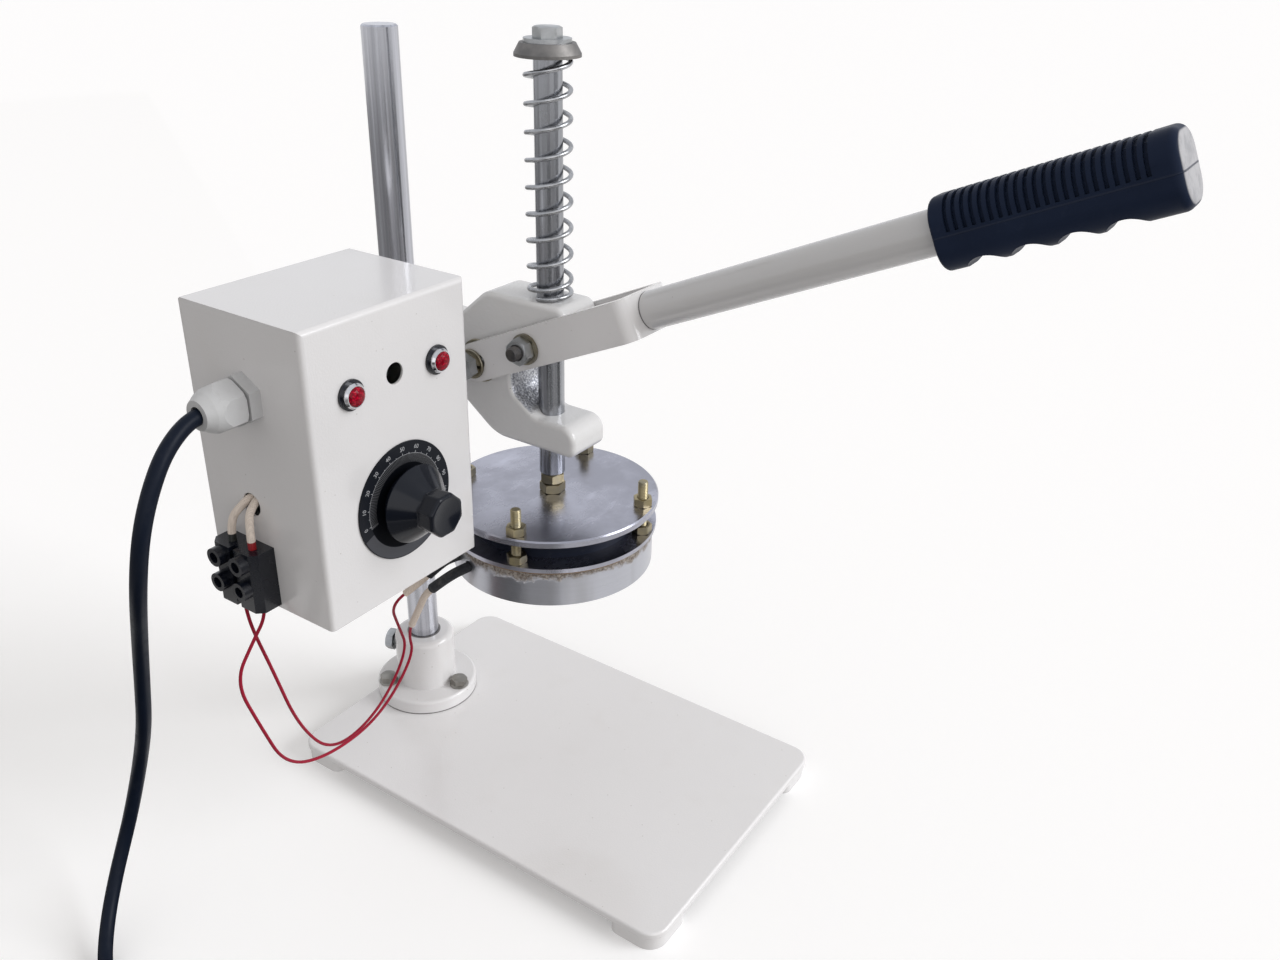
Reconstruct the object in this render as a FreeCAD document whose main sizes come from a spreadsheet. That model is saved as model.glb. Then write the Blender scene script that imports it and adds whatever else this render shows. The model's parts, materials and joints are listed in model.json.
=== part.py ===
import FreeCAD, Part
import math
import os
import re

import Sketcher
from FreeCAD import Placement, Rotation, Vector

# Hand-press lid sealer, in millimetres.
# The origin is the ram's axis at the top face of the base plate, under the heater.
# +X is the operator's right, +Y the back, +Z up. The pose is at rest: the lever is up.

SIZES = {
    # base plate and its feet
    "base_width": 187,
    "base_front": 141.5,
    "base_back": 140.5,
    "plate_thick": 4,
    "base_corner": 12,
    "plate_round": 1.5,
    "foot_height": 9,
    "foot_side": 32,
    "foot_inset": 1,
    "foot_round": 6,
    # clearances
    "fit": 0.05,
    "bolt_gap": 0.15,
    "side_play": 0.3,
    # column and its socket
    "column_dia": 20,
    "column_y": 114.5,
    "column_top": 437.5,
    "column_chamfer": 1,
    "flange_dia": 68,
    "flange_thick": 9.5,
    "flange_round": 2,
    "boss_dia": 40,
    "boss_round": 4,
    "root_round": 0.4,
    "socket_high": 47,
    "socket_circle_dia": 54,
    "socket_bolt_dia": 6,
    "socket_bolt_head": 10,
    "socket_bolt_head_high": 4,
    "socket_bolt_collar": 13,
    "socket_bolt_collar_high": 1.4,
    "set_bolt_dia": 8,
    "set_bolt_z": 34,
    "set_bolt_head": 13,
    "set_bolt_head_high": 5.3,
    "set_bolt_stand": 2,
    # head casting: a C-frame with two ram guides, a web and a split clamp
    "head_width": 30,
    "head_front": 20,
    "top_guide_high": 18,
    "top_back": 34,
    "web_start": 62,
    "web_lift": 24,
    "web_high": 37,
    "heel_y": 30,
    "foot_z": 224,
    "nose_front": 26.5,
    "nose_round": 9,
    "chin_round": 5,
    "brow_round": 6,
    "shoulder_round": 12,
    "heel_round": 24,
    "low_guide_high": 18,
    "throat_span": 49,
    "throat_foot": 12,
    "throat_brow": 10,
    "throat_back": 17,
    "throat_round": 9,
    "casting_round": 3,
    "hub_dia": 38,
    "hub_drop": 10,
    "hub_high": 58,
    "ear_half": 14,
    "ear_long": 16,
    "slit": 3,
    "clamp_bolt_dia": 8,
    "clamp_bolt_inset": 14,
    "clamp_head": 13,
    "clamp_head_high": 5.3,
    "clamp_nut_high": 6.5,
    # ram and what hangs on it
    "ram_dia": 14.6,
    "ram_bottom": 204,
    "ram_top": 436,
    "ram_chamfer": 0.8,
    "pin_drop": 5.5,
    "pin_dia": 8,
    "pin_washer_dia": 17,
    "pin_washer_thick": 1.6,
    "pin_nut": 13,
    "pin_nut_high": 6.5,
    "pin_tip": 4.5,
    "pin_head_high": 5.3,
    "top_bolt_dia": 8,
    "top_bolt_long": 18,
    "top_head": 13,
    "top_head_high": 5.3,
    "top_washer_dia": 24,
    "top_washer_thick": 2,
    "cup_dia": 33.5,
    "cup_flat_dia": 28,
    "cup_drop": 5,
    "cup_thick": 1.5,
    "spring_dia": 22.6,
    "spring_wire": 2.5,
    "spring_turns": 9.5,
    "spring_end_pitch": 3.6,
    "spring_gap": 0.05,
    "stud_dia": 8,
    "stud_in_ram": 14,
    "jam_nut": 13,
    "jam_nut_high": 5.8,
    # heater stack, from the carrier plate down
    "carrier_dia": 123.8,
    "carrier_top": 192,
    "carrier_thick": 4.5,
    "carrier_chamfer": 0.8,
    "post_circle_dia": 110,
    "post_dia": 6,
    "post_turn": 17,
    "post_top": 207,
    "post_in_heater": 9,
    "post_nut": 10,
    "post_nut_high": 5,
    "insulator_dia": 97,
    "insulator_thick": 13,
    "cover_dia": 122,
    "cover_thick": 2.5,
    "gasket_dia": 119,
    "gasket_thick": 1.5,
    "heater_dia": 118,
    "heater_high": 20.5,
    "heater_floor": 9,
    "heater_cavity_dia": 97,
    "element_dia": 92,
    "element_hole": 30,
    "element_thick": 4,
    "release_dia": 114,
    "release_thick": 1.2,
    "lead_hole_dia": 6.4,
    "lead_drop": 9,
    "black_sleeve_dia": 6,
    "cream_sleeve_dia": 4.2,
    # lever: a U-bent fork, a tube and a moulded grip
    "lever_angle": 24.4,
    "fulcrum_y": 38.5,
    "fulcrum_dia": 8,
    "fulcrum_washer": 25,
    "inner_washer_thick": 1.2,
    "outer_washer_dia": 17,
    "outer_washer_thick": 1.6,
    "lock_washer_dia": 14,
    "lock_washer_thick": 2,
    "lock_split": 1.6,
    "fulcrum_nut": 13,
    "fulcrum_nut_high": 6,
    "fork_thick": 5,
    "fork_high": 22,
    "fork_tail": 53,
    "fork_web": 71,
    "fork_bend": 8,
    "slot_long": 6.5,
    "slot_play": 0.65,
    "tube_dia": 20,
    "tube_wall": 2,
    "tube_end": 320,
    "grip_start": 230,
    "grip_end": 327,
    "grip_half": 15,
    "grip_up": 14.5,
    "grip_down": 17,
    "grip_corner": 11,
    "grip_end_round": 4,
    "grip_ribs": 22,
    "rib_start": 7,
    "rib_pitch": 3.7,
    "rib_cut": 1.8,
    "rib_depth": 1.5,
    "finger_start": 17,
    "finger_pitch": 18.5,
    "finger_radius": 10.5,
    "finger_depth": 4,
    # control box
    "box_right": 66,
    "box_width": 102.5,
    "box_front": 1,
    "box_deep": 79,
    "box_bottom": 184.8,
    "box_high": 150.7,
    "sheet_thick": 1.2,
    "box_bend": 2.5,
    "cover_lap": 8,
    "cover_stand": 3,
    "cover_gap": 0.25,
    "cover_screw_dia": 3.5,
    "cover_screw_head": 7,
    "cover_screw_high": 2,
    "spacer_dia": 12,
    "box_bolt_dia": 6,
    "box_bolt_head": 10,
    "box_bolt_head_high": 4,
    "box_bolt_in": 10,
    "box_bolt_y": 62,
    "box_bolt_pitch": 18,
    "box_bolt_z": 256,
    "face_x": 115.9,
    "lamp_half": 27.7,
    "lamp_z": 299.7,
    "lamp_hole_dia": 8.8,
    "spare_hole_dia": 10.6,
    "lamp_washer_dia": 14.8,
    "lamp_washer_thick": 1.2,
    "bezel_dia": 12.2,
    "bezel_high": 3,
    "bezel_neck_long": 15,
    "lens_dia": 9.8,
    "lens_stand": 2,
    "dial_z": 234.7,
    "dial_dia": 61,
    "dial_thick": 1,
    "bush_dia": 9.5,
    "bush_long": 3.5,
    "shaft_dia": 6,
    "regulator_side": 40,
    "regulator_high": 44,
    "regulator_deep": 28,
    "knob_gap": 0.8,
    "skirt_dia": 40,
    "skirt_top_dia": 27,
    "skirt_high": 13.5,
    "skirt_low": 5,
    "knob_hub_dia": 30,
    "skirt_rim": 1.2,
    "knob_flats": 20.5,
    "knob_high": 26.7,
    "knob_recess_dia": 20,
    "knob_recess": 4.5,
    "gland_y": 42.1,
    "gland_z": 296.1,
    "gland_flats": 22,
    "gland_base_high": 6,
    "gland_thread_dia": 14,
    "gland_inside": 9,
    "gland_seal": 9.5,
    "gland_nut_flats": 21,
    "gland_nut_gap": 1,
    "gland_nut_high": 18.8,
    "gland_mouth_dia": 14,
    "locknut_flats": 19,
    "locknut_high": 4,
    "lead_hole_y": 49,
    "lead_hole_z": 239.1,
    "wall_hole_dia": 12,
    "block_y": 37,
    "block_wide": 31,
    "block_low": 187,
    "block_high": 32.4,
    "block_deep": 12.9,
    "block_chamfer": 3.5,
    "tower_dia": 9.6,
    "tower_bore": 5.6,
    "tower_high": 4.6,
    "tower_bore_deep": 7.5,
    "tower_pitch_y": 15.7,
    "tower_pitch_z": 13.9,
    "tower_lift": 3.7,
    "tower_screw_dia": 5.2,
    "tower_screw_high": 3,
    # cords
    "cord_dia": 7.5,
    "cord_gap": 0.4,
    "wire_dia": 1.8,
    "lead_dia": 4,
    "coil_outer": 49.5,
    "coil_turns": 2,
    "coil_pitch": 9,
    "coil_layer": 9,
    "plug_dia": 40,
    "plug_long": 34,
    "plug_neck_dia": 13,
    "plug_neck_long": 16,
    "plug_pin_dia": 5,
    "plug_pin_long": 16,
    "plug_earth_dia": 7,
    "plug_pin_pitch": 19,
    "plug_earth_rise": 22,
    "tie_wide": 9,
    "tie_thick": 1.2,
    "tie_gap": 0.9,
}

# Sizes that follow from others, worked out on the sheet.
DERIVED = {
    "guide_top": "foot_z + low_guide_high",
    "guide_under": "guide_top + throat_span",
    "head_top": "guide_under + top_guide_high",
    "throat_low": "guide_top + throat_foot",
    "throat_high": "guide_under - throat_brow",
    "web_bottom": "foot_z + web_lift",
    "web_top": "web_bottom + web_high",
    "hub_bottom": "web_bottom - hub_drop",
    "hub_top": "hub_bottom + hub_high",
    "pin_z": "guide_under - pin_drop",
    "fulcrum_z": "pin_z - fulcrum_y * tan(lever_angle)",
    "ear_y": "column_y + hub_dia / 2 + ear_long / 2",
    "leg_in": "head_width / 2 + inner_washer_thick + side_play",
    "leg_out": "leg_in + fork_thick",
    "bolt_stack": "leg_out + side_play",
    "carrier_low": "carrier_top - carrier_thick",
    "cover_top": "carrier_low - insulator_thick",
    "cover_low": "cover_top - cover_thick",
    "heater_top": "cover_low - gasket_thick",
    "heater_low": "heater_top - heater_high",
    "box_left": "-(box_right + box_width)",
    "box_back": "box_front + box_deep",
    "box_top": "box_bottom + box_high",
    "cover_screw_y": "box_back - cover_lap / 2",
}
CLAMP_HEIGHTS = ("(hub_bottom + clamp_bolt_inset)", "(hub_top - clamp_bolt_inset)")
BOX_BOLT_ZS = ("box_bolt_z", "(box_bolt_z + box_bolt_pitch)")
COVER_SCREW_ZS = ("(box_bottom + box_high / 4)", "(box_bottom + 3 * box_high / 4)")
COVER_SCREW_XS = ("(-box_right - box_width / 4)", "(-box_right - 3 * box_width / 4)")
TOWER_YS = ("(block_y + block_wide / 2 - tower_pitch_y / 2)", "(block_y + block_wide / 2 + tower_pitch_y / 2)")
TOWER_ZS = ("(block_low + block_high / 2 + tower_lift - tower_pitch_z / 2)",
            "(block_low + block_high / 2 + tower_lift + tower_pitch_z / 2)")
SOCKET_BOLT_TURNS = (146, 278, 32)
SET_BOLT_TURN = 110
POST_COUNT = 4
POSTS = ["(post_turn + %d)" % (360 / POST_COUNT * i) for i in range(POST_COUNT)]
FINGERS = 4
HEATER_LEAD_TURNS = (164, 150)

# Routes are hand-chosen points on the centre lines. Arcs round them off.
CORD_DROP = (
    (-184, 42.1, 296.1), (-194.3, 42.1, 296.1), (-204.5, 40.7, 293.3), (-216, 38, 286.4), (-225.7, 35.6, 275),
    (-232.4, 35.4, 261.2), (-236, 37.4, 245.1), (-235.9, 44.6, 222.6), (-227.4, 65.9, 187.1), (-223.6, 79.2, 152.8),
    (-222.8, 86.8, 124.5), (-219, 106.3, 87.2), (-224.8, 116.2, 51.3), (-232.7, 117.3, 32.8), (-241.9, 114.9, 18.2),
    (-254.4, 107.3, 4), (-267.2, 94.1, -5.5), (-274, 82, -9.25), (-281, 68, -9.25), (-287, 54, -8.9),
    (-292.8, 39.5, -7.15), (-298, 25, -7.15),
)
# Steps from the coil's end to the plug: along, to the right, up.
TAIL_STEPS = ((14, 0, 0), (34, 1.2, 1.4), (55, 3.8, 3.8), (69, 6.2, 5.15), (79, 8.2, 5.15))
RED_WIRE_A = (
    (-175, 42.6, 186.95), (-175, 42.6, 181), (-182.2, 44, 171), (-195.2, 46, 152), (-184.9, 47, 118.4),
    (-171.4, 49, 79.9), (-137.4, 55, 60.6), (-92.8, 61, 56.6), (-54.3, 68.5, 76.5), (-59.8, 66.4, 97.1),
    (-62.18, 60.05, 106.92),
)
RED_WIRE_B = (
    (-175.5, 56.5, 186.95), (-175.5, 56.5, 180), (-174.9, 54, 167), (-166.6, 56, 140), (-152.5, 59, 89),
    (-126.5, 66, 49.7), (-83.7, 73, 48.1), (-51, 77, 75), (-63, 71, 102.3), (-76.7, 61.3, 128.2),
    (-71.54, 53.56, 136.43),
)
BLACK_SLEEVE_A = ((-50.9, 14.6, 161.5), (-60.5, 17.3, 161), (-66, 24, 156), (-67.8, 35, 145.1))
CREAM_SLEEVE_A = ((-67.81, 35.07, 145.03), (-68.6, 39.9, 140.2), (-66.9, 47.5, 126.5), (-62.2, 60, 107))
BLACK_SLEEVE_B = ((-45.9, 26.5, 161.5), (-54.5, 31.5, 161), (-60, 36, 157), (-63.6, 41.5, 150))
CREAM_SLEEVE_B = ((-63.64, 41.56, 149.93), (-66.5, 46, 144.5), (-71.5, 53.5, 136.5))
LEAD_A = ((-163, 47.5, 243), (-172, 46.5, 239.5), (-175.3, 44.2, 230), (-175.3, 44.2, 219.45))
LEAD_B = ((-163, 51.5, 243), (-171.5, 53, 239), (-175.3, 58.5, 230), (-175.3, 58.5, 219.45))

doc = FreeCAD.newDocument("jar_press")
sheet = doc.addObject("Spreadsheet::Sheet", "dims")
cells = {**SIZES, **{name: "=" + text for name, text in DERIVED.items()}}
for row, (name, value) in enumerate(cells.items(), 1):
    sheet.set("A%d" % row, name)
    sheet.setAlias("B%d" % row, name)
    sheet.set("B%d" % row, str(value))
doc.recompute()
size = {name: float(sheet.get(name)) for name in cells}
nodes = {}

ALONG_X = Rotation(Vector(0, 1, 0), 90)
AGAINST_X = Rotation(Vector(0, 1, 0), -90)
AGAINST_Y = Rotation(Vector(1, 0, 0), 90)
ALONG_Y = Rotation(Vector(1, 0, 0), -90)
UPRIGHT = Rotation()


def bound(text):
    """The expression with each size's name pointing at the sheet."""
    return re.sub(r"[a-z_]+", lambda m: "dims." + m.group(0) if m.group(0) in cells else m.group(0), str(text))


def bind(thing, **properties):
    """Ties properties of a feature to expressions on the sheet."""
    for name, text in properties.items():
        thing.setExpression(name, bound(text))
    return thing


def seat(thing, x="0", y="0", z="0", rotation=UPRIGHT):
    """Places a feature at expressions on the sheet, turned by a fixed rotation."""
    thing.Placement = Placement(Vector(), rotation)
    for axis, text in zip("xyz", (x, y, z)):
        thing.setExpression("Placement.Base." + axis, bound(text))
    return thing


def new_body(label, x="0", y="0", z="0"):
    body = doc.addObject("PartDesign::Body", label + "_body")
    return seat(body, x, y, z)


def sketch(body, plane, offset="0"):
    """A sketch on one of the body's own planes, moved along that plane's normal."""
    made = body.newObject("Sketcher::SketchObject", body.Name + "_sketch")
    made.AttachmentSupport = [(next(f for f in body.Origin.OriginFeatures if f.Role == plane), "")]
    made.MapMode = "FlatFace"
    made.setExpression("AttachmentOffset.Base.z", bound(offset))
    return made


def fix_point(made, geometry, end, x, y):
    for kind, text in (("DistanceX", x), ("DistanceY", y)):
        index = made.addConstraint(Sketcher.Constraint(kind, -1, 1, geometry, end, 1.0))
        made.setExpression("Constraints[%d]" % index, bound(text))


def outline(made, *points):
    """A closed outline through points given as pairs of expressions."""
    first = made.GeometryCount
    count = len(points)
    start = [Vector(9 * math.cos(i * math.tau / count), 9 * math.sin(i * math.tau / count), 0) for i in range(count)]
    for i in range(count):
        made.addGeometry(Part.LineSegment(start[i], start[(i + 1) % count]), False)
    for i in range(count):
        made.addConstraint(Sketcher.Constraint("Coincident", first + i, 2, first + (i + 1) % count, 1))
    for i, (x, y) in enumerate(points):
        fix_point(made, first + i, 1, x, y)
    return made


def rectangle(made, left, right, low, high):
    return outline(made, (left, low), (right, low), (right, high), (left, high))


def circle(made, x, y, radius):
    index = made.addGeometry(Part.Circle(Vector(0, 0, 0), Vector(0, 0, 1), 1.0), False)
    fix_point(made, index, 3, x, y)
    constraint = made.addConstraint(Sketcher.Constraint("Radius", index, 1.0))
    made.setExpression("Constraints[%d]" % constraint, bound(radius))
    return made


def feature(body, kind, profile, length=None, side="One side", reverse=False):
    made = body.newObject("PartDesign::" + kind, body.Name + "_" + kind.lower())
    made.Profile = profile
    made.SideType = side
    made.Reversed = reverse
    if length is None:
        made.Type = "ThroughAll"
    else:
        made.setExpression("Length", bound(length))
    profile.Visibility = False
    doc.recompute()
    return made


def pad(body, profile, length, side="One side", reverse=False):
    return feature(body, "Pad", profile, length, side, reverse)


def pocket(body, profile, length=None, side="Symmetric", reverse=False):
    return feature(body, "Pocket", profile, length, side, reverse)


def spun(body, profile, axis="V_Axis"):
    """A full turn of the profile about one of the sketch's own axes."""
    made = body.newObject("PartDesign::Revolution", body.Name + "_turn")
    made.Profile = profile
    made.ReferenceAxis = (profile, [axis])
    made.Angle = 360
    doc.recompute()
    return made


def dress(body, kind, amount, chosen):
    """A fillet or chamfer on the edges of the body's tip that the test picks."""
    tip = body.Tip
    names = ["Edge%d" % (i + 1) for i, edge in enumerate(tip.Shape.Edges) if chosen(edge)]
    made = body.newObject("PartDesign::" + kind, body.Name + "_" + kind.lower())
    made.Base = (tip, names)
    made.setExpression("Radius" if kind == "Fillet" else "Size", bound(amount))
    doc.recompute()
    return made


def middle(edge):
    return edge.valueAt((edge.FirstParameter + edge.LastParameter) / 2)


def runs_along(edge, axis):
    """True if the edge is straight and parallel to that axis."""
    if edge.Curve.TypeId != "Part::GeomLine":
        return False
    direction = edge.Vertexes[1].Point - edge.Vertexes[0].Point
    return abs(abs(getattr(direction, axis)) - direction.Length) < 1e-4


def close(a, b, tolerance=0.02):
    return abs(a - b) < tolerance


def keep(label, thing):
    """Hands a finished feature over as one node of the part."""
    thing.Label = label
    nodes[label] = thing
    return thing


def cylinder(radius, length, x="0", y="0", z="0", rotation=UPRIGHT):
    made = bind(doc.addObject("Part::Cylinder", "cylinder"), Radius=radius, Height=length)
    return seat(made, x, y, z, rotation)


def hexagon(flats, length, x="0", y="0", z="0", rotation=UPRIGHT):
    """A hexagonal prism, sized across its flats."""
    made = doc.addObject("Part::Prism", "hexagon")
    made.Polygon = 6
    bind(made, Circumradius="(%s) / sqrt(3)" % flats, Height=length)
    return seat(made, x, y, z, rotation)


def joined(*things):
    made = doc.addObject("Part::MultiFuse", "joined")
    made.Shapes = list(things)
    made.Refine = True
    return made


def less(base, *tools):
    """The base with every tool taken out of it."""
    for tool in tools:
        made = doc.addObject("Part::Cut", "less")
        made.Base = base
        made.Tool = tool
        base = made
    return base


def group(*things):
    made = doc.addObject("Part::Compound", "group")
    made.Links = list(things)
    return made


def tube(outer, inner, length, x="0", y="0", z="0", rotation=UPRIGHT):
    """A plain washer, spacer or sleeve."""
    return less(
        cylinder(outer, length, x, y, z, rotation),
        cylinder(inner, length, x, y, z, rotation),
    )


def tube_nut(flats, hole, high, z, x="0", y="0"):
    """A hexagon nut on an upright stud."""
    return less(hexagon(flats, high, x, y, z), cylinder("(%s) / 2" % hole, high, x, y, z))


def polar(circle_dia, turn, axis):
    """The expression of one coordinate of a point on a bolt circle."""
    return "(%s) / 2 * %s(%s)" % (circle_dia, "cos" if axis == "x" else "sin", turn)


def round_path(points, label):
    """Straight runs joined by tangent arcs, each as large as its runs allow."""
    points = [Vector(*p) for p in points]
    edges, radii = [], []
    at = points[0]
    for before, corner, after in zip(points, points[1:], points[2:]):
        back, on = (before - corner), (after - corner)
        half = (math.pi - back.getAngle(on)) / 2
        reach = 0.45 * min(back.Length, on.Length)
        radii.append(reach / math.tan(half))
        back.normalize()
        on.normalize()
        enter, leave = corner + back * reach, corner + on * reach
        inward = (back + on).normalize()
        mid = corner + inward * (radii[-1] / math.cos(half) - radii[-1])
        edges.append(Part.LineSegment(at, enter).toShape())
        edges.append(Part.Arc(enter, mid, leave).toShape())
        at = leave
    edges.append(Part.LineSegment(at, points[-1]).toShape())
    print("%s: bend radii %s" % (label, " ".join("%.0f" % r for r in radii)))
    return Part.Wire(edges)


def swept(wire, diameter):
    """A solid tube along a wire."""
    start = wire.Edges[0]
    ring = Part.Wire(Part.Circle(start.valueAt(start.FirstParameter), start.tangentAt(start.FirstParameter),
                                 diameter / 2).toShape())
    return wire.makePipeShell([ring], True, False)


def in_code(label, shape):
    """A feature whose shape is set in code, for what no sketch or primitive gives."""
    made = doc.addObject("Part::Feature", label + "_shape")
    made.Shape = shape
    return made


def cord(points, diameter, label):
    """A free cord: its volume is compared with its section times its length."""
    wire = round_path(points, label)
    shape = swept(wire, diameter)
    wanted = wire.Length * math.pi * diameter ** 2 / 4
    print("%s: %.0f mm long, volume %.4f of section times length" % (label, wire.Length, shape.Volume / wanted))
    return in_code(label, shape)


def biarc(start, leaving, end, arriving):
    """Two arcs that join two points with their tangents."""
    gap, both = end - start, leaving + arriving
    bend = 2 * (1 - leaving.dot(arriving))
    along = gap.dot(both)
    reach = (math.sqrt(along ** 2 + bend * gap.dot(gap)) - along) / bend
    joint = (start + leaving * reach + end - arriving * reach) * 0.5
    arcs = []
    for a, corner, b in ((start, start + leaving * reach, joint), (joint, end - arriving * reach, end)):
        chord_mid = (a + b) * 0.5
        half, rise = (b - a).Length / 2, (corner - chord_mid).Length
        radius = half * (corner - a).Length / rise
        sag = radius - math.sqrt(radius ** 2 - half ** 2)
        arcs.append(Part.Arc(a, chord_mid + (corner - chord_mid) * (sag / rise), b).toShape())
    return arcs


def wound(curve, turns, wire_dia, label):
    """The centre line of a wound tube: biarcs of a quarter turn, and straight ends one diameter long."""
    step = 1e-4

    def direction(t):
        return (curve(t + step) - curve(t - step)).normalize()

    count = round(turns * 4)
    stations = [turns * i / count for i in range(count + 1)]
    edges = []
    first, last = curve(0), curve(turns)
    edges.append(Part.LineSegment(first - direction(0) * wire_dia, first).toShape())
    for a, b in zip(stations, stations[1:]):
        edges += biarc(curve(a), direction(a), curve(b), direction(b))
    edges.append(Part.LineSegment(last, last + direction(turns) * wire_dia).toShape())
    spots = [curve(turns * i / (count * 12)) for i in range(count * 12 + 1)]
    apart = round(12 * 2.4)
    least = min((p - q).Length for i, p in enumerate(spots) for q in spots[i + apart:]) - wire_dia
    print("%s: least gap to itself %.2f mm" % (label, least))
    return edges


def make_base():
    """The plate with four corner feet, left standing by a cross-shaped cut underneath."""
    body = new_body("base_plate")
    half, foot_half = "base_width / 2", "(base_width / 2 - foot_inset)"
    low = sketch(body, "XY_Plane", "-plate_thick - foot_height")
    pad(body, rectangle(low, "-" + foot_half, foot_half, "-base_front + foot_inset", "base_back - foot_inset"),
        "foot_height")
    dress(body, "Fillet", "base_corner - foot_inset", lambda e: runs_along(e, "z"))
    plan = rectangle(sketch(body, "XY_Plane", "-plate_thick"), "-" + half, half, "-base_front", "base_back")
    pad(body, plan, "plate_thick")
    dress(body, "Fillet", "base_corner", lambda e: runs_along(e, "z") and middle(e).z > -size["plate_thick"])
    dress(body, "Fillet", "plate_round", lambda e: close(middle(e).z, 0))
    inner = "(%s - foot_side)" % foot_half
    front, back = "(-base_front + foot_inset + foot_side)", "(base_back - foot_inset - foot_side)"
    for limits in (("-" + inner, inner, "-base_front", "base_back"), ("-" + half, half, front, back)):
        pocket(body, rectangle(sketch(body, "XY_Plane", "-plate_thick"), *limits), "foot_height", "One side")
    foot_x = size["base_width"] / 2 - size["foot_inset"] - size["foot_side"]
    foot_ys = (-size["base_front"] + size["foot_inset"] + size["foot_side"],
               size["base_back"] - size["foot_inset"] - size["foot_side"])
    dress(body, "Fillet", "foot_round", lambda e: runs_along(e, "z") and middle(e).z < -size["plate_thick"] and
          (close(abs(middle(e).x), foot_x) or any(close(middle(e).y, y) for y in foot_ys)))
    holes = sketch(body, "XY_Plane")
    for turn in SOCKET_BOLT_TURNS:
        circle(holes, polar("socket_circle_dia", turn, "x"), "column_y + " + polar("socket_circle_dia", turn, "y"),
               "socket_bolt_dia / 2 + bolt_gap")
    pocket(body, holes)
    keep("base_plate", body)


def make_socket():
    body = new_body("column_socket", y="column_y")
    bore, flange, boss = "(column_dia / 2 + fit)", "flange_dia / 2", "boss_dia / 2"
    half = outline(sketch(body, "XZ_Plane"), (bore, "0"), (flange, "0"), (flange, "flange_thick"),
                   (boss, "flange_thick"), (boss, "socket_high"), (bore, "socket_high"))
    spun(body, half)

    def circle_at(edge, radius, z):
        return edge.Curve.TypeId == "Part::GeomCircle" and close(edge.Curve.Radius, radius) and close(middle(edge).z, z)

    dress(body, "Fillet", "flange_round", lambda e: circle_at(e, size["flange_dia"] / 2, size["flange_thick"]))
    dress(body, "Fillet", "root_round", lambda e: circle_at(e, size["boss_dia"] / 2, size["flange_thick"]))
    dress(body, "Fillet", "boss_round", lambda e: circle_at(e, size["boss_dia"] / 2, size["socket_high"]))
    holes = sketch(body, "XY_Plane")
    for turn in SOCKET_BOLT_TURNS:
        circle(holes, polar("socket_circle_dia", turn, "x"), polar("socket_circle_dia", turn, "y"),
               "socket_bolt_dia / 2 + bolt_gap")
    pocket(body, holes)
    outward = Rotation(Vector(0, 0, 1), SET_BOLT_TURN).multiply(ALONG_X)
    side_hole = cylinder("set_bolt_dia / 2 + bolt_gap", "boss_dia", "0", "column_y", "set_bolt_z", outward)
    keep("column_socket", less(body, side_hole))

    bolts = []
    for turn in SOCKET_BOLT_TURNS:
        x = polar("socket_circle_dia", turn, "x")
        y = "column_y + " + polar("socket_circle_dia", turn, "y")
        bolts.append(joined(
            cylinder("socket_bolt_dia / 2", "flange_thick + plate_thick", x, y, "-plate_thick"),
            cylinder("socket_bolt_collar / 2", "socket_bolt_collar_high", x, y, "flange_thick"),
            hexagon("socket_bolt_head", "socket_bolt_head_high", x, y, "flange_thick + socket_bolt_collar_high"),
        ))
    keep("socket_bolts", group(*bolts))

    reach = "(boss_dia / 2 + set_bolt_stand)"
    grip = "(column_dia / 2 + fit)"
    turned = ("cos(%d)" % SET_BOLT_TURN, "sin(%d)" % SET_BOLT_TURN)
    shank = cylinder("set_bolt_dia / 2", "%s - %s" % (reach, grip), "%s * %s" % (grip, turned[0]),
                     "column_y + %s * %s" % (grip, turned[1]), "set_bolt_z", outward)
    head = hexagon("set_bolt_head", "set_bolt_head_high", "%s * %s" % (reach, turned[0]),
                   "column_y + %s * %s" % (reach, turned[1]), "set_bolt_z", outward)
    keep("socket_set_bolt", joined(shank, head))


def make_column():
    body = new_body("column", y="column_y")
    pad(body, circle(sketch(body, "XY_Plane"), "0", "0", "column_dia / 2"), "column_top")
    dress(body, "Chamfer", "column_chamfer", lambda e: e.Curve.TypeId == "Part::GeomCircle")
    keep("column", body)


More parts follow.
